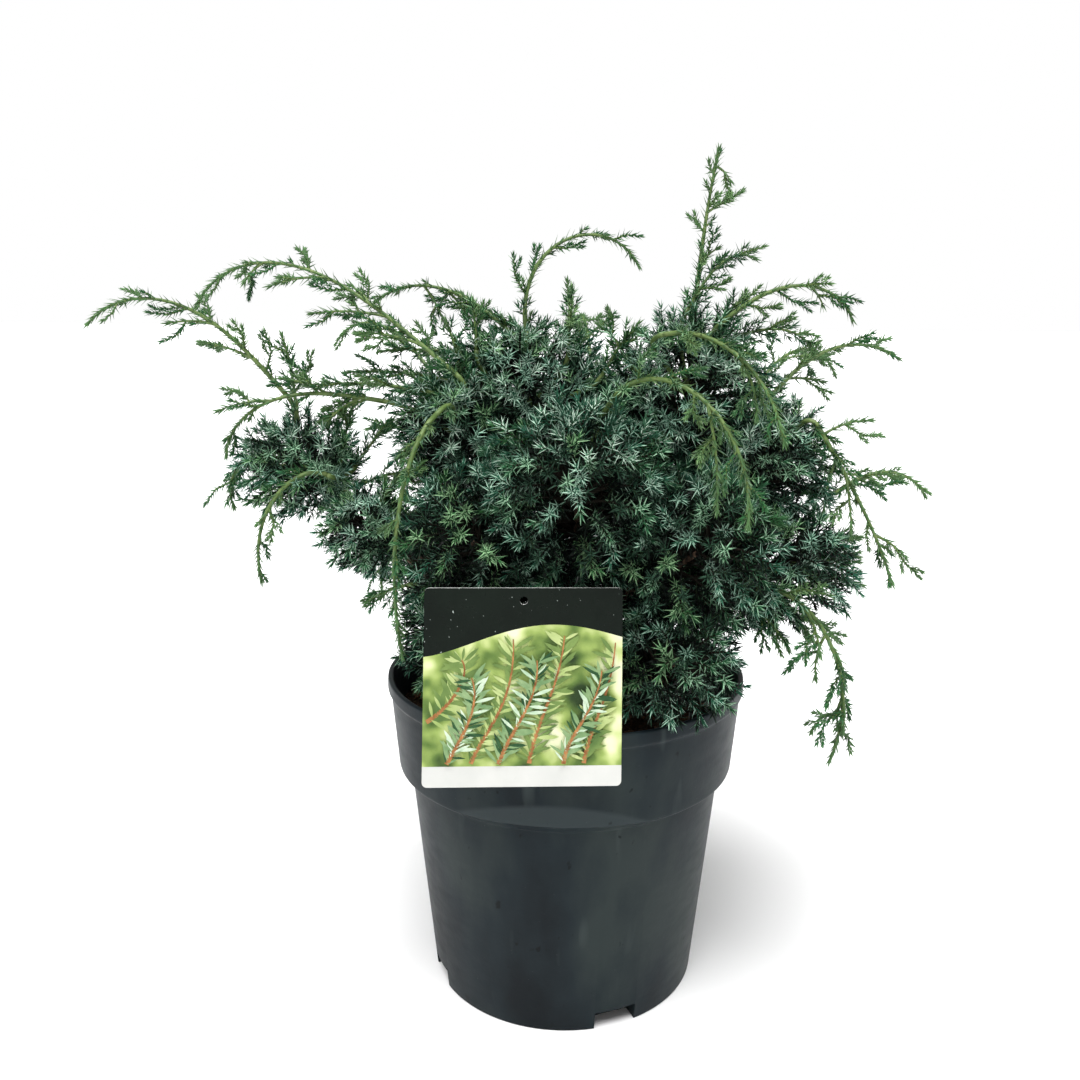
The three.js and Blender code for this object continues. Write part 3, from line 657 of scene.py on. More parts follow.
# Each mass of foliage in millimetres: the middle and half size of its space, and the height on the
# trunk where its bough leaves. The trunk's own tip carries the crown's top.
MASSES = {
    "crown_top": ((-26, 8, 388), (70, 70, 66), TRUNK_TOP),
    "shoulder_left": ((-78, 2, 368), (50, 66, 58), 262),
    "shoulder_right": ((84, 6, 397), (70, 66, 65), 272),
    "lobe_left": ((-186, -14, 348), (44, 54, 38), 218),
    "lobe_left_low": ((-131, -42, 309), (34, 46, 31), 198),
    "side_right": ((137, 4, 346), (53, 70, 57), 236),
    "side_right_low": ((142, -40, 288), (54, 58, 46), 206),
    "front_middle": ((6, -80, 340), (74, 62, 68), 248),
    "front_right": ((82, -78, 304), (62, 60, 62), 224),
    "front_left": ((-60, -72, 308), (56, 56, 58), 234),
    "front_low": ((20, -58, 262), (58, 44, 46), 210),
    "rim_right": ((68, -92, 238), (45, 46, 44), 193),
    "rim_left": ((-72, -50, 241), (42, 46, 45), 190),
    "back_left": ((-70, 88, 342), (58, 68, 68), 242),
    "back_middle": ((18, 112, 346), (74, 68, 72), 228),
    "back_right": ((108, 92, 330), (74, 68, 68), 254),
    "back_left_low": ((-74, 94, 256), (52, 60, 54), 201),
    "back_right_low": ((70, 112, 254), (66, 58, 54), 196),
}

# The leafy growth low between the boughs, which closes the crown at its sides and its back.
INNER = {
    "inner_right": ((102, 34, 262), (50, 46, 50), 212),
    "inner_left": ((-86, 28, 262), (46, 46, 50), 208),
    "inner_back": ((-10, 84, 262), (42, 44, 52), 204),
}
SPACES = {**MASSES, **INNER}

# Each long shoot: the mass it grows from, its foot, the heading round from +X in degrees, the rise
# it sets off at and the one it ends at, how late it bends over, and its length.
SHOOTS = {
    "arch_far_left": ("lobe_left", (-195, -10, 396), 185, (49, -53), 2.4, 161),
    "arch_left": ("shoulder_left", (-76, -30, 413), 166, (38, -63), 2.8, 228),
    "arch_left_inner": ("crown_top", (-38, 26, 436), 162, (40, -44), 1.8, 131),
    "arch_middle": ("crown_top", (-30, 4, 441), 10, (97, -64), 1.36, 136),
    "leader_tall": ("shoulder_right", (90, 10, 470), 10, (84, 78), 1.6, 101),
    "arch_right_top": ("shoulder_right", (108, -10, 451), -10, (38, -74), 1.88, 100),
    "arch_right": ("side_right", (146, 0, 402), 12, (47, -35), 1.42, 103),
    "arch_front_upper": ("shoulder_right", (62, -50, 441), -45, (11, -78), 1, 124),
    "arch_front": ("front_middle", (28, -80, 401), -40, (59, -95), 0.68, 153),
    "droop_right": ("side_right", (169, -30, 378), -15, (-60, -74), 2.2, 113),
    "reach_right": ("side_right", (194, 10, 330), 5, (34, -64), 1.56, 71),
    "droop_right_low": ("side_right_low", (120, -70, 280), -20, (37, -111), 0.47, 138),
    "hanging_front": ("shoulder_left", (-84, -74, 389), -125, (-14, -104), 0.4, 157),
    "arch_left_low": ("shoulder_left", (-126, -20, 393), 192, (10, -89), 2.3, 124),
    "droop_left": ("lobe_left", (-158, -50, 347), 200, (60, -103), 0.4, 94),
    "arch_back_left": ("back_left", (-104, 118, 394), 142, (44, -52), 2, 150),
    "arch_back": ("back_middle", (20, 150, 400), 96, (52, -56), 1.7, 146),
    "arch_back_right": ("back_right", (146, 128, 384), 40, (42, -60), 1.9, 138),
    "droop_back_left": ("back_left_low", (-112, 132, 284), 140, (24, -98), 0.7, 112),
    "droop_back": ("back_right_low", (70, 158, 288), 76, (30, -100), 0.6, 118),
}


def mix(a, b, t):
    return a + (b - a) * t


def unit(way):
    return way / np.maximum(np.linalg.norm(way, axis=-1, keepdims=True), 1e-9)


def outness(name, point):
    """How far out a point lies in a mass's space: 1 is on its surface."""
    middle, half, _ = SPACES[name]
    return np.linalg.norm((np.asarray(point) - middle) / half, axis=-1)


def trunk_point(height):
    lean = height - TRUNK_FOOT
    return np.array([4 + 0.06 * lean, 2 + 0.05 * lean, height])


def bent(a, b, c, d, steps):
    """Points along a curve from a to d that sets off towards b and comes in from c."""
    t = np.linspace(0, 1, steps + 1)[:, None]
    return (1 - t) ** 3 * a + 3 * t * (1 - t) ** 2 * b + 3 * t * t * (1 - t) * c + t ** 3 * d


def shoot_line(foot, heading, rise, bend, length, pieces=24):
    """The line of a long shoot, worked out from its foot, heading, rises, bend and length."""
    t = (np.arange(pieces) + 0.5) / pieces
    tilt = np.radians(mix(rise[0], rise[1], t ** bend))
    turn = math.radians(heading)
    steps = np.stack([math.cos(turn) * np.cos(tilt), math.sin(turn) * np.cos(tilt), np.sin(tilt)], 1)
    return np.vstack([np.array([foot], float), foot + np.cumsum(steps * length / pieces, axis=0)])


def walked(line):
    """How far along a line each of its points lies."""
    return np.concatenate([[0], np.cumsum(np.linalg.norm(np.diff(line, axis=0), axis=1))])


def rings(line, radii, sides, ridge=None):
    """Rings of points round a line. A ridge gives how much prouder each point stands."""
    line = np.asarray(line, float)
    along = unit(np.gradient(line, axis=0))
    chord = line[-1] - line[0]
    square = np.cross(chord, (0.0, 0.0, 1.0))
    if np.linalg.norm(square) < 0.02 * np.linalg.norm(chord):
        square = np.array([1.0, 0.0, 0.0])
    side = unit(square - (along @ square)[:, None] * along)
    other = np.cross(side, along)
    turn = np.linspace(0, 2 * math.pi, sides, endpoint=False)
    out = np.cos(turn)[None, :, None] * side[:, None, :] + np.sin(turn)[None, :, None] * other[:, None, :]
    radii = np.broadcast_to(np.asarray(radii, float)[:, None], (len(line), sides))
    if ridge is not None:
        radii = radii * (1 + ridge(turn[None, :], walked(line)[:, None]))
    return line[:, None, :] + out * radii[..., None]


class Joined:
    """Many closed pieces gathered in millimetres and joined into one mesh object."""

    def __init__(self):
        self.points, self.triangles, self.kinds, self.count = [], [], [], 0

    def add(self, points, triangles, kinds=None):
        points = points.reshape(-1, 3)
        self.points.append(points)
        self.triangles.append(triangles.reshape(-1, 3) + self.count)
        self.kinds.append(np.zeros(self.triangles[-1].shape[0], int) if kinds is None else kinds)
        self.count += len(points)

    def limb(self, ring):
        """A closed tube from its rings of points."""
        steps, sides = ring.shape[:2]
        at = np.arange(steps * sides).reshape(steps, sides)
        right = np.roll(at, -1, axis=1)
        walls = np.stack([
            np.stack([at[:-1], at[1:], right[1:]], -1), np.stack([at[:-1], right[1:], right[:-1]], -1)])
        fan = np.arange(1, sides - 1)
        foot = np.stack([np.zeros_like(fan), fan, fan + 1], 1)
        tip = np.stack([np.zeros_like(fan), fan + 1, fan], 1) + (steps - 1) * sides
        self.add(ring, np.vstack([walls.reshape(-1, 3), foot, tip]))

    def build(self, name, materials, smooth):
        points = (np.vstack(self.points) * MM).astype(np.float32)
        triangles = np.vstack(self.triangles).astype(np.int32)
        mesh = bpy.data.meshes.new(name)
        mesh.vertices.add(len(points))
        mesh.vertices.foreach_set("co", points.ravel())
        mesh.loops.add(triangles.size)
        mesh.loops.foreach_set("vertex_index", triangles.ravel())
        mesh.polygons.add(len(triangles))
        mesh.polygons.foreach_set("loop_start", np.arange(0, triangles.size, 3, dtype=np.int32))
        for material in materials:
            mesh.materials.append(material)
        mesh.polygons.foreach_set("material_index", np.concatenate(self.kinds).astype(np.int32))
        mesh.polygons.foreach_set("use_smooth", np.full(len(triangles), smooth))
        mesh.update(calc_edges=True)
        mesh.validate()
        piece = bpy.data.objects.new(name, mesh)
        bpy.context.scene.collection.objects.link(piece)
        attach(piece, "root")
        return piece


def peeling(turn, gone):
    """The strips of bark: long ridges that wander round the limb as they climb it."""
    return (0.055 * np.sin(5 * turn + 0.09 * gone + 1.3 * np.sin(0.06 * gone))
            + 0.035 * np.sin(11 * turn - 0.17 * gone + 2.0 * np.sin(0.11 * gone))
            + 0.02 * np.sin(19 * turn + 0.31 * gone))


def grow_wood():
    """The trunk, the boughs and the stems that run on inside the masses, in one mesh."""
    wood = Joined()
    heights = np.linspace(TRUNK_FOOT, TRUNK_TOP, 80)
    flare = np.maximum(0, 1 - (heights - TRUNK_FOOT + 3) / 26) ** 2
    radii = mix(9.5, 5.0, (heights - TRUNK_FOOT) / (TRUNK_TOP - TRUNK_FOOT)) + 6.5 * flare
    wood.limb(rings([trunk_point(h) for h in heights], radii, 44, peeling))
    axes = {}
    for name, (middle, half, bough) in SPACES.items():
        middle = np.array(middle, float)
        start = trunk_point(bough)
        inward = start - middle
        entry = middle + inward * ENTRY_SHARE / outness(name, start)
        if name == "crown_top":
            entry = start
            line = start + (middle - start) * np.linspace(0, 1, 40)[:, None]
            radii = np.linspace(5.0, STEM_TIP, 40)
        else:
            reach = np.linalg.norm(start - entry)
            flat = unit((entry - start) * (1, 1, 0))
            leave = start + flat * reach * 0.4 + (0, 0, reach * 0.16)
            line = bent(start, leave, entry + unit(inward) * reach * 0.25, entry, 40)
            radii = np.linspace(2.6 + 0.013 * reach, STEM_FOOT, 41)
            line = np.vstack([line, entry + (middle - entry) * np.linspace(0.08, 1, 12)[:, None]])
            radii = np.concatenate([radii, np.linspace(STEM_FOOT, STEM_TIP, 12)])
        wood.limb(rings(line, radii, 14, peeling))
        axes[name] = (entry, middle)
    bark = patterned(
        "bark", (60, 48, 38), 0.2, (420.0, 5.0, (1.0, 1.0, 0.18)),
        ((0.3, (36, 28, 22)), (0.5, (66, 51, 40)), (0.66, (100, 82, 66))), (0.75, 0.95), 0.0005)
    piece = wood.build("trunk_and_boughs", [bark], True)
    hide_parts("trunk", *("bough_" + name for name in MASSES if name != "crown_top"))
    return axes


axes = grow_wood()


# The foliage. Twigs grow out of the stem of each mass and inner growth evenly on all sides, arch over
# at their tips and carry shorter side twigs, all set with whorls of three stiff, sharp needles. A
# needle's upper face is whitish blue with bloom and its lower faces are green.
GOLDEN_TURN = math.pi * (3 - math.sqrt(5))
NEEDLE = {"long": 7.8, "wide": 1.6, "thick": 0.5, "channel": 0.2, "spacing": 2.5}


def dealer(seed):
    """The generator that deals out every twig, so that the plant grows the same each time."""
    state = seed * 7919 + 17
    while True:
        state = state * 48271 % 2147483647
        yield state / 2147483647


def clear_of_pot(points, room):
    """Whether all points of a twig are clear of the rim and wall, the compost and the label."""
    back = np.array(CARD.inverted())
    beside, along, before = (((points * MM) @ back[:3, :3].T + back[:3, 3]) / MM).T
    half_wide, half_high, card_face = CARD_WIDE / 2 / MM + 1, CARD_HIGH / 2 / MM + 1, -1.5
    at_card = (np.abs(beside) < half_wide + room) & (np.abs(along) < half_high + room)
    at_card &= before > card_face - room
    rim_top, rim_outside, wall_inside, compost_top = 205, 125.5, 106, 182
    out, height = np.hypot(points[:, 0], points[:, 1]), points[:, 2] - room
    above, outside = height > rim_top, out - room > rim_outside
    inside = (out + room < wall_inside) & (height > compost_top)
    return bool(np.all(~at_card & (above | outside | inside)))


def place_on(line, share):
    """The point and the way along a line at a share of its length, or at each of several."""
    gone = walked(line)
    at = share * gone[-1]
    along = unit(np.gradient(line, axis=0))
    point, way = (np.stack([np.interp(at, gone, numbers[:, k]) for k in range(3)], -1)
                  for numbers in (line, along))
    return point, unit(way)


def out_of(way, turn, level):
    """The direction square to a way, turned round it from the one that is square to level, too."""
    square = unit(np.cross(way, level))
    return math.cos(turn) * square + math.sin(turn) * np.cross(way, square)


class Needles(Joined):
    """Needles of one tint, gathered from the twigs that carry them."""

    def whorls(self, line, deal, long, spacing, bare, opening, tuft=True, stout=1.0):
        """Whorls of three needles along a twig, opening less towards its tip, and a tuft there."""
        total = walked(line)[-1]
        count = max(int(total * (1 - bare) / spacing), 1)
        share = 1 - spacing * (np.arange(count)[::-1] + 0.6) / total
        share = share[share > 0]
        count = len(share)
        base, along = place_on(line, share)
        turn = (np.arange(count) * math.pi / 3)[:, None] + np.arange(3) * 2 * math.pi / 3
        turn = turn + deal.uniform(-0.35, 0.35, (count, 3)) + deal.uniform(0, 6.3)
        open_by = mix(opening[0], opening[1], share ** 3)[:, None] + deal.uniform(-9, 9, (count, 3))
        reach = long * deal.uniform(0.8, 1.12, (count, 3)) * mix(1.0, 0.8, share ** 4)[:, None]
        if tuft:
            base = np.vstack([base, line[-1:]])
            along = np.vstack([along, unit(line[-1:] - line[-2:-1])])
            turn = np.vstack([turn, turn[-1:] + math.pi / 3])
            open_by = np.vstack([open_by, deal.uniform(8, 22, (1, 3))])
            reach = np.vstack([reach, long * deal.uniform(0.6, 0.8, (1, 3))])
        square = unit(np.cross(along, (0.31, 0.17, 0.93)))
        other = np.cross(along, square)
        out = np.cos(turn)[..., None] * square[:, None] + np.sin(turn)[..., None] * other[:, None]
        angle = np.radians(open_by)[..., None]
        way = along[:, None] * np.cos(angle) + out * np.sin(angle)
        upper = along[:, None] * np.sin(angle) - out * np.cos(angle)
        side = np.cross(way, upper)
        wide = NEEDLE["wide"] / 2 * (long / NEEDLE["long"]) ** 0.5 * stout
        root = base[:, None] + out * 0.35
        corners = np.stack([
            root + side * wide, root - side * wide, root - upper * NEEDLE["channel"],
            root - upper * NEEDLE["thick"], root + way * reach[..., None]], axis=2)
        corners = corners.reshape(-1, 5, 3)
        faces = np.array([[1, 2, 4], [2, 0, 4], [0, 3, 4], [3, 1, 4]])
        faces = faces[None] + 5 * np.arange(len(corners))[:, None, None]
        kinds = [0, 1, 1, 1] if deal.uniform() < 0.5 else [1, 0, 1, 1]
        self.add(corners, faces, np.tile(kinds, len(corners)))


def needle_finish(name, colour, shade, rough):
    """A needle's face: its colour shifts a little from spray to spray."""
    dark = tuple(c * shade for c in colour)
    return patterned(name, colour, 0.15, (55.0, 2.0), tones(dark, colour), (rough - 0.08, rough + 0.08))


# Each tint of needle: its upper face and its lower faces. The two darkest tints are painted shade for
# sprays deep inside and low in the masses, and the palest is painted light for outer sprays near the sunlit
# top.
TINTS = {
    "blue": ((188, 220, 198), (46, 96, 74)),
    "painted_light": ((214, 236, 218), (80, 128, 98)),
    "teal": ((172, 212, 188), (40, 88, 66)),
    "mid": ((164, 204, 170), (42, 90, 58)),
    "green": ((154, 194, 146), (48, 94, 54)),
    "deep": ((62, 98, 76), (5, 20, 12)),
    "painted_dark_shade": ((16, 32, 22), (1, 5, 3)),
    "fresh": ((160, 196, 138), (82, 118, 72)),
}
# A twig tip this deep in another mass is left to that mass. Sprays under LOW_SPRAYS are greener, and from
# SUNLIT down over SHADE_DEEP millimetres more of them take the dark tints, as painted shade.
TAKEN = 0.6
LOW_SPRAYS, SUNLIT, SHADE_DEEP = 310, 405, 110
needles = {tint: Needles() for tint in TINTS}
twig_wood, twig_green = Joined(), Joined()


def stalk(store, line, foot, tip, sides=3):
    store.limb(rings(line, np.linspace(foot, tip, len(line)), sides))


def branch(line, reach, spacing, lengths, deal, tint_of, space):
    """Side twigs along a twig, each set round from the last by the golden turn."""
    count = int(walked(line)[-1] * (reach[1] - reach[0]) / spacing)
    turn = deal.uniform(0, 6.3)
    for k in range(count):
        share = reach[0] + (reach[1] - reach[0]) * (k + deal.uniform(0.2, 0.8)) / count
        turn += GOLDEN_TURN + deal.uniform(-0.4, 0.4)
        root, way = place_on(line, share)
        out = out_of(way, turn, (0.2, 0.1, 0.97))
        long = mix(lengths[0], lengths[1], share) * deal.uniform(0.7, 1.2)
        lean = math.radians(deal.uniform(42, 58))
        for shorter in (1.0, 0.72, 0.5):
            first = way * math.cos(lean) + out * math.sin(lean)
            middle = root + first * long * shorter * 0.55
            end = middle + unit(first + way * 0.55) * long * shorter * 0.45
            twig = np.stack([root, mix(root, middle, 0.5), middle, end])
            if clear_of_pot(twig, 5.0) and space(end):
                stalk(twig_green, twig, 0.55, 0.3)
                tint = tint_of(end)
                sparse = 1.5 if tint == "painted_dark_shade" else 1.0
                needles[tint].whorls(twig, deal, NEEDLE["long"], NEEDLE["spacing"] * sparse, 0.05, (60, 38))
                break


def grow_mass(index, name):
    """All twigs of one mass, by the same rule as its few sprays in the frame, carried finer."""
    middle, half, _ = SPACES[name]
    middle, half = np.array(middle, float), np.array(half, float)
    entry = axes[name][0]
    axis = middle - entry
    axis_long = np.linalg.norm(axis) * 1.35
    axis = unit(axis)
    steady = dealer(100 + index)
    deal = np.random.RandomState(100 + index)
    others = [other for other in MASSES if other != name]
    twigs_by_area, fewest = 0.0078, 58
    area = half[0] * half[1] + half[1] * half[2] + half[0] * half[2]
    twigs = max(round(twigs_by_area * area), fewest)
    for i in range(twigs):
        height = 1 - (2 * i + 1) / twigs
        turn = i * GOLDEN_TURN + next(steady) * 0.5
        flat = math.sqrt(1 - height * height)
        way = np.array([flat * math.cos(turn), flat * math.sin(turn), height]) * half
        share = mix(0.8, 0.98, next(steady))
        tip = middle + way * share
        if min(outness(other, tip) for other in others) < TAKEN:
            continue
        for shorter in (1.0, 0.86, 0.72, 0.58):
            tip = middle + way * share * shorter
            over = (tip - entry) @ axis
            aside = np.linalg.norm(tip - entry - over * axis)
            root = entry + axis * min(max(over - 0.7 * aside, 0.1 * axis_long), axis_long * 0.9)
            far = np.linalg.norm(tip - root)
            lift = np.array([0, 0, far * 0.1])
            line = bent(root, mix(root, tip, 0.35) + lift + axis * far * 0.06,
                        mix(root, tip, 0.72) + lift, tip, 7)
            if clear_of_pot(line[3:], 5.0):
                break
        else:
            continue
        tone = deal.uniform() + (0.0 if tip[2] > LOW_SPRAYS else 0.1)
        own = "blue" if tone < 0.34 else "teal" if tone < 0.62 else "mid" if tone < 0.86 else "green"

        # Painted shade: tips deep in this mass or another take the two dark tints, more of them the lower
        # they are. Painted light: outer tips near the top take the palest tint.
        def tint_of(end):
            own_depth = outness(name, end)
            other_depth = min(outness(other, end) for other in others)
            shelter = min(max((SUNLIT - end[2]) / SHADE_DEEP, 0.0), 1.0)
            if own_depth < 0.64 + 0.14 * shelter or other_depth < 0.54 + 0.2 * shelter:
                return "painted_dark_shade"
            if own_depth < 0.74 + 0.16 * shelter or other_depth < 0.66 + 0.24 * shelter:
                return "deep"
            if shelter < 0.4 and own_depth > 0.84 and deal.uniform() < 0.55:
                return "painted_light"
            if shelter == 0.0 and deal.uniform() < 0.3:
                return "green"
            return own if deal.uniform() < 0.8 else "mid"

        def space(end):
            return outness(name, end) < 1.03

        stalk(twig_wood, line, 1.2, 0.5, 4)
        needles[own].whorls(line, deal, NEEDLE["long"], NEEDLE["spacing"], 0.45, (62, 30))
        branch(line, (0.34, 0.96), 5.2, (18, 9), deal, tint_of, space)


for index, name in enumerate(SPACES):
    grow_mass(index, name)


# The long shoots. This year's growth arches out of the masses on smooth yellow-green stems, with
# whorls of longer needles that lie forward, short side twigs and a soft brush of needles at the tip.
SHOOT_STEM = {"foot": 1.75, "tip": 0.8}
SHOOT_SPRAY_SPACING, SHOOT_SPRAY_REACH = 27, (30, 15)
SHOOT_NEEDLES = {
    "stem": {"long": 9.0, "spacing": 4.6, "bare": 0.0, "opening": (48, 38), "tuft": False},
    "tip": {"long": 7.6, "spacing": 2.5, "bare": 0.0, "opening": (40, 20), "stout": 1.2},
    "side": {"long": 5.8, "spacing": 2.2, "bare": 0.05, "opening": (54, 30), "stout": 1.35},
    "bud": {"long": 4.6, "spacing": 1.8, "bare": 0.0, "opening": (42, 26), "stout": 1.5},
}


def side_twig(root, way, out, reach, deal, bushy):
    """A side twig of a shoot: a thin green stem, needles along it, and buds on the bushy ones."""
    for shorter in (1.0, 0.75, 0.5):
        tip = root + (way * 0.75 + out * 0.62) * reach * shorter
        bulge = root + (way * 0.3 + out * 0.42) * reach * shorter
        twig = np.stack([root, mix(root, bulge, 0.5), bulge, mix(bulge, tip, 0.5), tip])
        if clear_of_pot(twig, 5.0):
            break
    else:
        return
    stalk(shoot_stems, twig, 0.8, 0.35, 4)
    tint = "fresh" if deal.uniform() < 0.5 else "green"
    needles[tint].whorls(twig, deal, **SHOOT_NEEDLES["side"])
    if bushy:
        for share in (0.4, 0.68):
            at, along = place_on(twig, share)
            aside = unit(np.cross(along, deal.normal(size=3)))
            bud = np.stack([at, at + (along + aside) * 3.0, at + (along * 1.6 + aside * 1.1) * 4.4])
            needles[tint].whorls(bud, deal, **SHOOT_NEEDLES["bud"])


def grow_shoot(seed, line, thick=1.0, side_long=1.0):
    """One shoot: its stem, the whorls along it, its side twigs by the frame's rule, and its tip."""
    steady = dealer(300 + seed)
    deal = np.random.RandomState(300 + seed)
    length = walked(line)[-1]
    radii = np.linspace(SHOOT_STEM["foot"], SHOOT_STEM["tip"], len(line)) * thick
    shoot_stems.limb(rings(line, radii, 7))
    count = max(round(length / SHOOT_SPRAY_SPACING), 1)
    for k in range(1, count + 1):
        share = (k - 0.3 + 0.4 * next(steady)) / (count + 0.8)
        root, way = place_on(line, share)
        turn = (0 if k % 2 else math.pi) + (next(steady) - 0.5) * 2.4
        reach = mix(*SHOOT_SPRAY_REACH, share) * mix(0.8, 1.25, next(steady)) * side_long
        side_twig(root, way, out_of(way, turn, (0, 0, 1)), reach, deal, share < 0.6)
    turn = deal.uniform(0, 6.3)
    buds = int(length / 20)
    for k in range(buds):
        share = (k + deal.uniform(0.2, 0.8)) / buds
        turn += GOLDEN_TURN
        root, way = place_on(line, share)
        long = mix(8, 5, share) * deal.uniform(0.6, 1.4)
        side_twig(root, way, out_of(way, turn, (0.1, 0.2, 1)), long, deal, False)
    brush = len(line) * 3 // 4
    needles["fresh"].whorls(line[1:brush], deal, **SHOOT_NEEDLES["stem"])
    needles["fresh"].whorls(line[brush - 1:], deal, **SHOOT_NEEDLES["tip"])


def leader(mass, line, deal):
    """The stem that carries a shoot from the middle of its mass, with twigs of the mass on it."""
    middle = np.array(MASSES[mass][0], float)
    end, away = line[0], unit(line[1] - line[0])
    swing = np.linalg.norm(middle - end) * 0.4
    stem = bent(middle, mix(middle, end, 0.35), end - away * swing, end, 16)
    shoot_stems.limb(rings(stem, np.linspace(1.5, SHOOT_STEM["foot"], 17), 7))
    near = np.vstack([stem[6:], line[1:len(line) // 4 + 1]])

    # Painted shade: twigs that end deep in the mass take the dark tint.
    def tint_of(end):
        return "deep" if outness(mass, end) < 0.62 else "mid" if deal.uniform() < 0.6 else "green"

    branch(near, (0.1, 0.95), 4.5, (15, 11), deal, tint_of, lambda end: outness(mass, end) < 1.12)


# The smaller shoots between them: the mass, the foot, the heading, the rises, the bend, the length.
# The last ones are at the back, but for two in the dip between the crown's top and its right shoulder.
SMALL_SHOOTS = (
    ("shoulder_right", (83, 0, 458), 15, (58, -34), 2.86, 68),
    ("shoulder_right", (121, 10, 439), -5, (18, -75), 1.88, 59),
    ("lobe_left", (-204, -30, 352), 190, (92, -110), 0.4, 48),
    ("lobe_left", (-188, -12, 392), 170, (84, 70), 1.2, 46),
    ("crown_top", (0, 0, 430), 20, (92, 84), 1.0, 42),
    ("crown_top", (-64, -6, 428), 120, (86, 74), 1.0, 34),
    ("crown_top", (-76, -6, 416), 150, (80, 60), 1.0, 34),
    ("shoulder_right", (106, 0, 446), 10, (62, 40), 1.0, 28),
    ("shoulder_left", (-77, -10, 405), 178, (16, -6), 1.0, 76),
    ("shoulder_left", (-79, -28, 397), 182, (14, -8), 1.2, 98),
    ("shoulder_left", (-68, 8, 423), 172, (12, -8), 1.0, 66),
    ("lobe_left", (-154, -20, 356), 60, (80, 62), 1.0, 38),
    ("lobe_left", (-146, -16, 347), 20, (58, 44), 1.0, 40),
    ("lobe_left", (-140, -20, 336), 10, (24, 4), 1.0, 36),
    ("lobe_left", (-146, -30, 330), -10, (-30, -60), 1.0, 34),
    ("lobe_left_low", (-122, -42, 330), 40, (60, 30), 1.0, 28),
    ("side_right_low", (163, -5, 293), 2, (20, -2), 1.0, 42),
    ("side_right_low", (158, -16, 284), -4, (10, -6), 1.0, 42),
    ("side_right_low", (154, -10, 275), 4, (2, -22), 1.0, 54),
    ("side_right_low", (115, -56, 268), -30, (-20, -62), 1.0, 42),
    ("side_right_low", (132, -42, 269), -20, (-24, -58), 1.0, 42),
    ("rim_left", (-103, -64, 278), 190, (-8, -36), 1.0, 28),
    ("back_middle", (24, 160, 292), 80, (-10, -58), 1.0, 48),
    ("back_left", (-98, 124, 300), 130, (-8, -56), 1.0, 46),
    ("back_right", (150, 124, 290), 36, (-4, -52), 1.0, 48),
    ("back_right", (160, 96, 338), 24, (26, -22), 1.2, 52),
    ("back_left", (-112, 92, 352), 156, (28, -20), 1.2, 56),
    ("back_middle", (10, 108, 414), 96, (78, 58), 1.0, 34),
    ("back_left", (-62, 92, 408), 130, (76, 54), 1.0, 32),
    ("crown_top", (26, -12, 416), 6, (64, 46), 1.0, 38),
    ("shoulder_right", (38, -10, 426), 176, (64, 34), 1.0, 26),
)
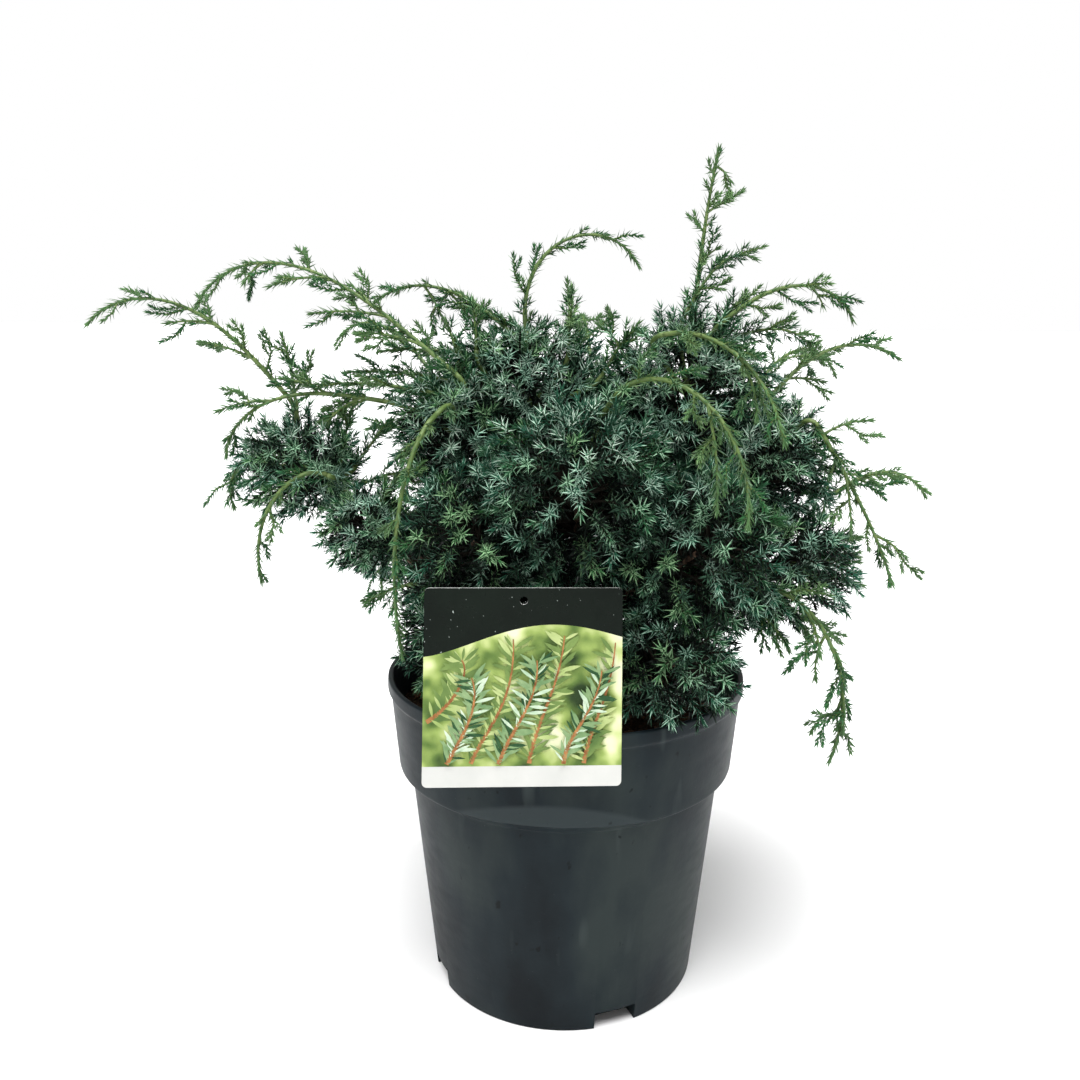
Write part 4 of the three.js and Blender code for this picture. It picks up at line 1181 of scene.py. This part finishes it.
# The leafy sprays that fork off the long shoots: the shoot, how far along it, the heading, the rises
# and the length.
FORKS = (
    ("arch_left", 0.13, 178, (24, -4), 46), ("arch_left", 0.27, 180, (14, -10), 52),
    ("arch_left", 0.34, 150, (50, 20), 22), ("arch_left", 0.5, 182, (4, -22), 40),
    ("arch_left", 0.72, 176, (-30, -60), 20), ("arch_left_inner", 0.5, -6, (-40, -66), 40),
    ("arch_left_inner", 0.32, 10, (-26, -56), 46), ("arch_left_inner", 0.64, 0, (-50, -74), 34),
    ("arch_left_inner", 0.2, 170, (30, -10), 26), ("arch_far_left", 0.2, 184, (30, 6), 38),
    ("arch_far_left", 0.42, 186, (16, -14), 32), ("arch_left_low", 0.3, 176, (30, 4), 34),
    ("arch_left_low", 0.08, 186, (-16, -40), 34), ("leader_tall", 0.2, 5, (50, 30), 16),
    ("leader_tall", 0.55, 10, (40, 16), 18), ("leader_tall", 0.88, 0, (-20, -70), 15),
    ("arch_left_low", 0.6, 184, (2, -24), 36), ("arch_left_low", 0.12, 200, (-20, -50), 30),
    ("droop_right", 0.04, 4, (34, 0), 34), ("droop_right", 0.3, 4, (0, -30), 22),
    ("droop_right", 0.7, 4, (-20, -50), 26), ("droop_right", 0.2, 170, (-70, -86), 38),
    ("droop_right", 0.32, -90, (-50, -80), 40), ("arch_right", 0.1, 30, (4, -14), 34),
    ("arch_right_top", 0.62, 0, (-40, -70), 16), ("droop_right_low", 0.25, -60, (-40, -80), 30),
    ("droop_right_low", 0.45, -20, (-50, -100), 32), ("droop_right_low", 0.4, 200, (-54, -98), 28),
    ("droop_right_low", 0.66, -80, (-60, -110), 26), ("droop_right_low", 0.7, 150, (-60, -110), 20),
    ("arch_front", 0.5, -70, (-60, -95), 62), ("arch_front_upper", 0.5, -40, (-50, -90), 40),
    ("arch_back", 0.3, 60, (30, 0), 40), ("arch_back", 0.5, 130, (0, -40), 36),
    ("arch_back_left", 0.35, 180, (20, -20), 40), ("arch_back_left", 0.6, 120, (-10, -40), 30),
    ("arch_back_right", 0.35, 10, (24, -10), 38), ("arch_back_right", 0.6, 70, (-10, -40), 28),
)
SPARE_SIDES = {"hanging_front": 0.45, "leader_tall": 0.6}
shoot_stems = Joined()
for seed, (name, (mass, foot, heading, rise, bend, length)) in enumerate(SHOOTS.items()):
    line = shoot_line(foot, heading, rise, bend, length)
    leader(mass, line, np.random.RandomState(500 + seed))
    grow_shoot(seed, line, 1.0, SPARE_SIDES.get(name, 1.0))
    for fork, (shoot, share, heading, rise, length) in enumerate(FORKS):
        if shoot == name:
            fork_line = shoot_line(place_on(line, share)[0], heading, rise, 1.0, length, 10)
            grow_shoot(100 + fork, fork_line, 0.62)
for seed, (mass, foot, heading, rise, bend, length) in enumerate(SMALL_SHOOTS, 40):
    line = shoot_line(foot, heading, rise, bend, length, 12)
    deal = np.random.RandomState(500 + seed)
    leader(mass, line, deal)
    grow_shoot(seed, line, 0.7)
    branch(line, (0.0, 0.85), 4.4, (12, 7), deal,
           lambda end: "mid" if deal.uniform() < 0.5 else "green", lambda end: True)

twig_brown = Finish("twig wood", (28, 25, 19), 0.8, 0.12).material
twig_skin = Finish("twig green", (34, 52, 30), 0.65, 0.15).material
stem_green = patterned(
    "green stem", (92, 112, 50), 0.3, (120.0,),
    ((0.3, (66, 88, 46)), (0.55, (90, 112, 60)), (0.75, (114, 130, 80))), (0.36, 0.5))
made = [
    twig_wood.build("twigs_brown", [twig_brown], True),
    twig_green.build("twigs_green", [twig_skin], True),
    shoot_stems.build("shoot_stems", [stem_green], True),
]
for tint, store in needles.items():
    pale, dark = TINTS[tint]
    finishes = [needle_finish("needle bloom " + tint, pale, 0.72, 0.55),
                needle_finish("needle " + tint, dark, 0.7, 0.42)]
    made.append(store.build("needles_" + tint, finishes, False))
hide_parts(*("shoot_" + name for name in SHOOTS))
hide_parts(*("foliage_" + name for name in MASSES))
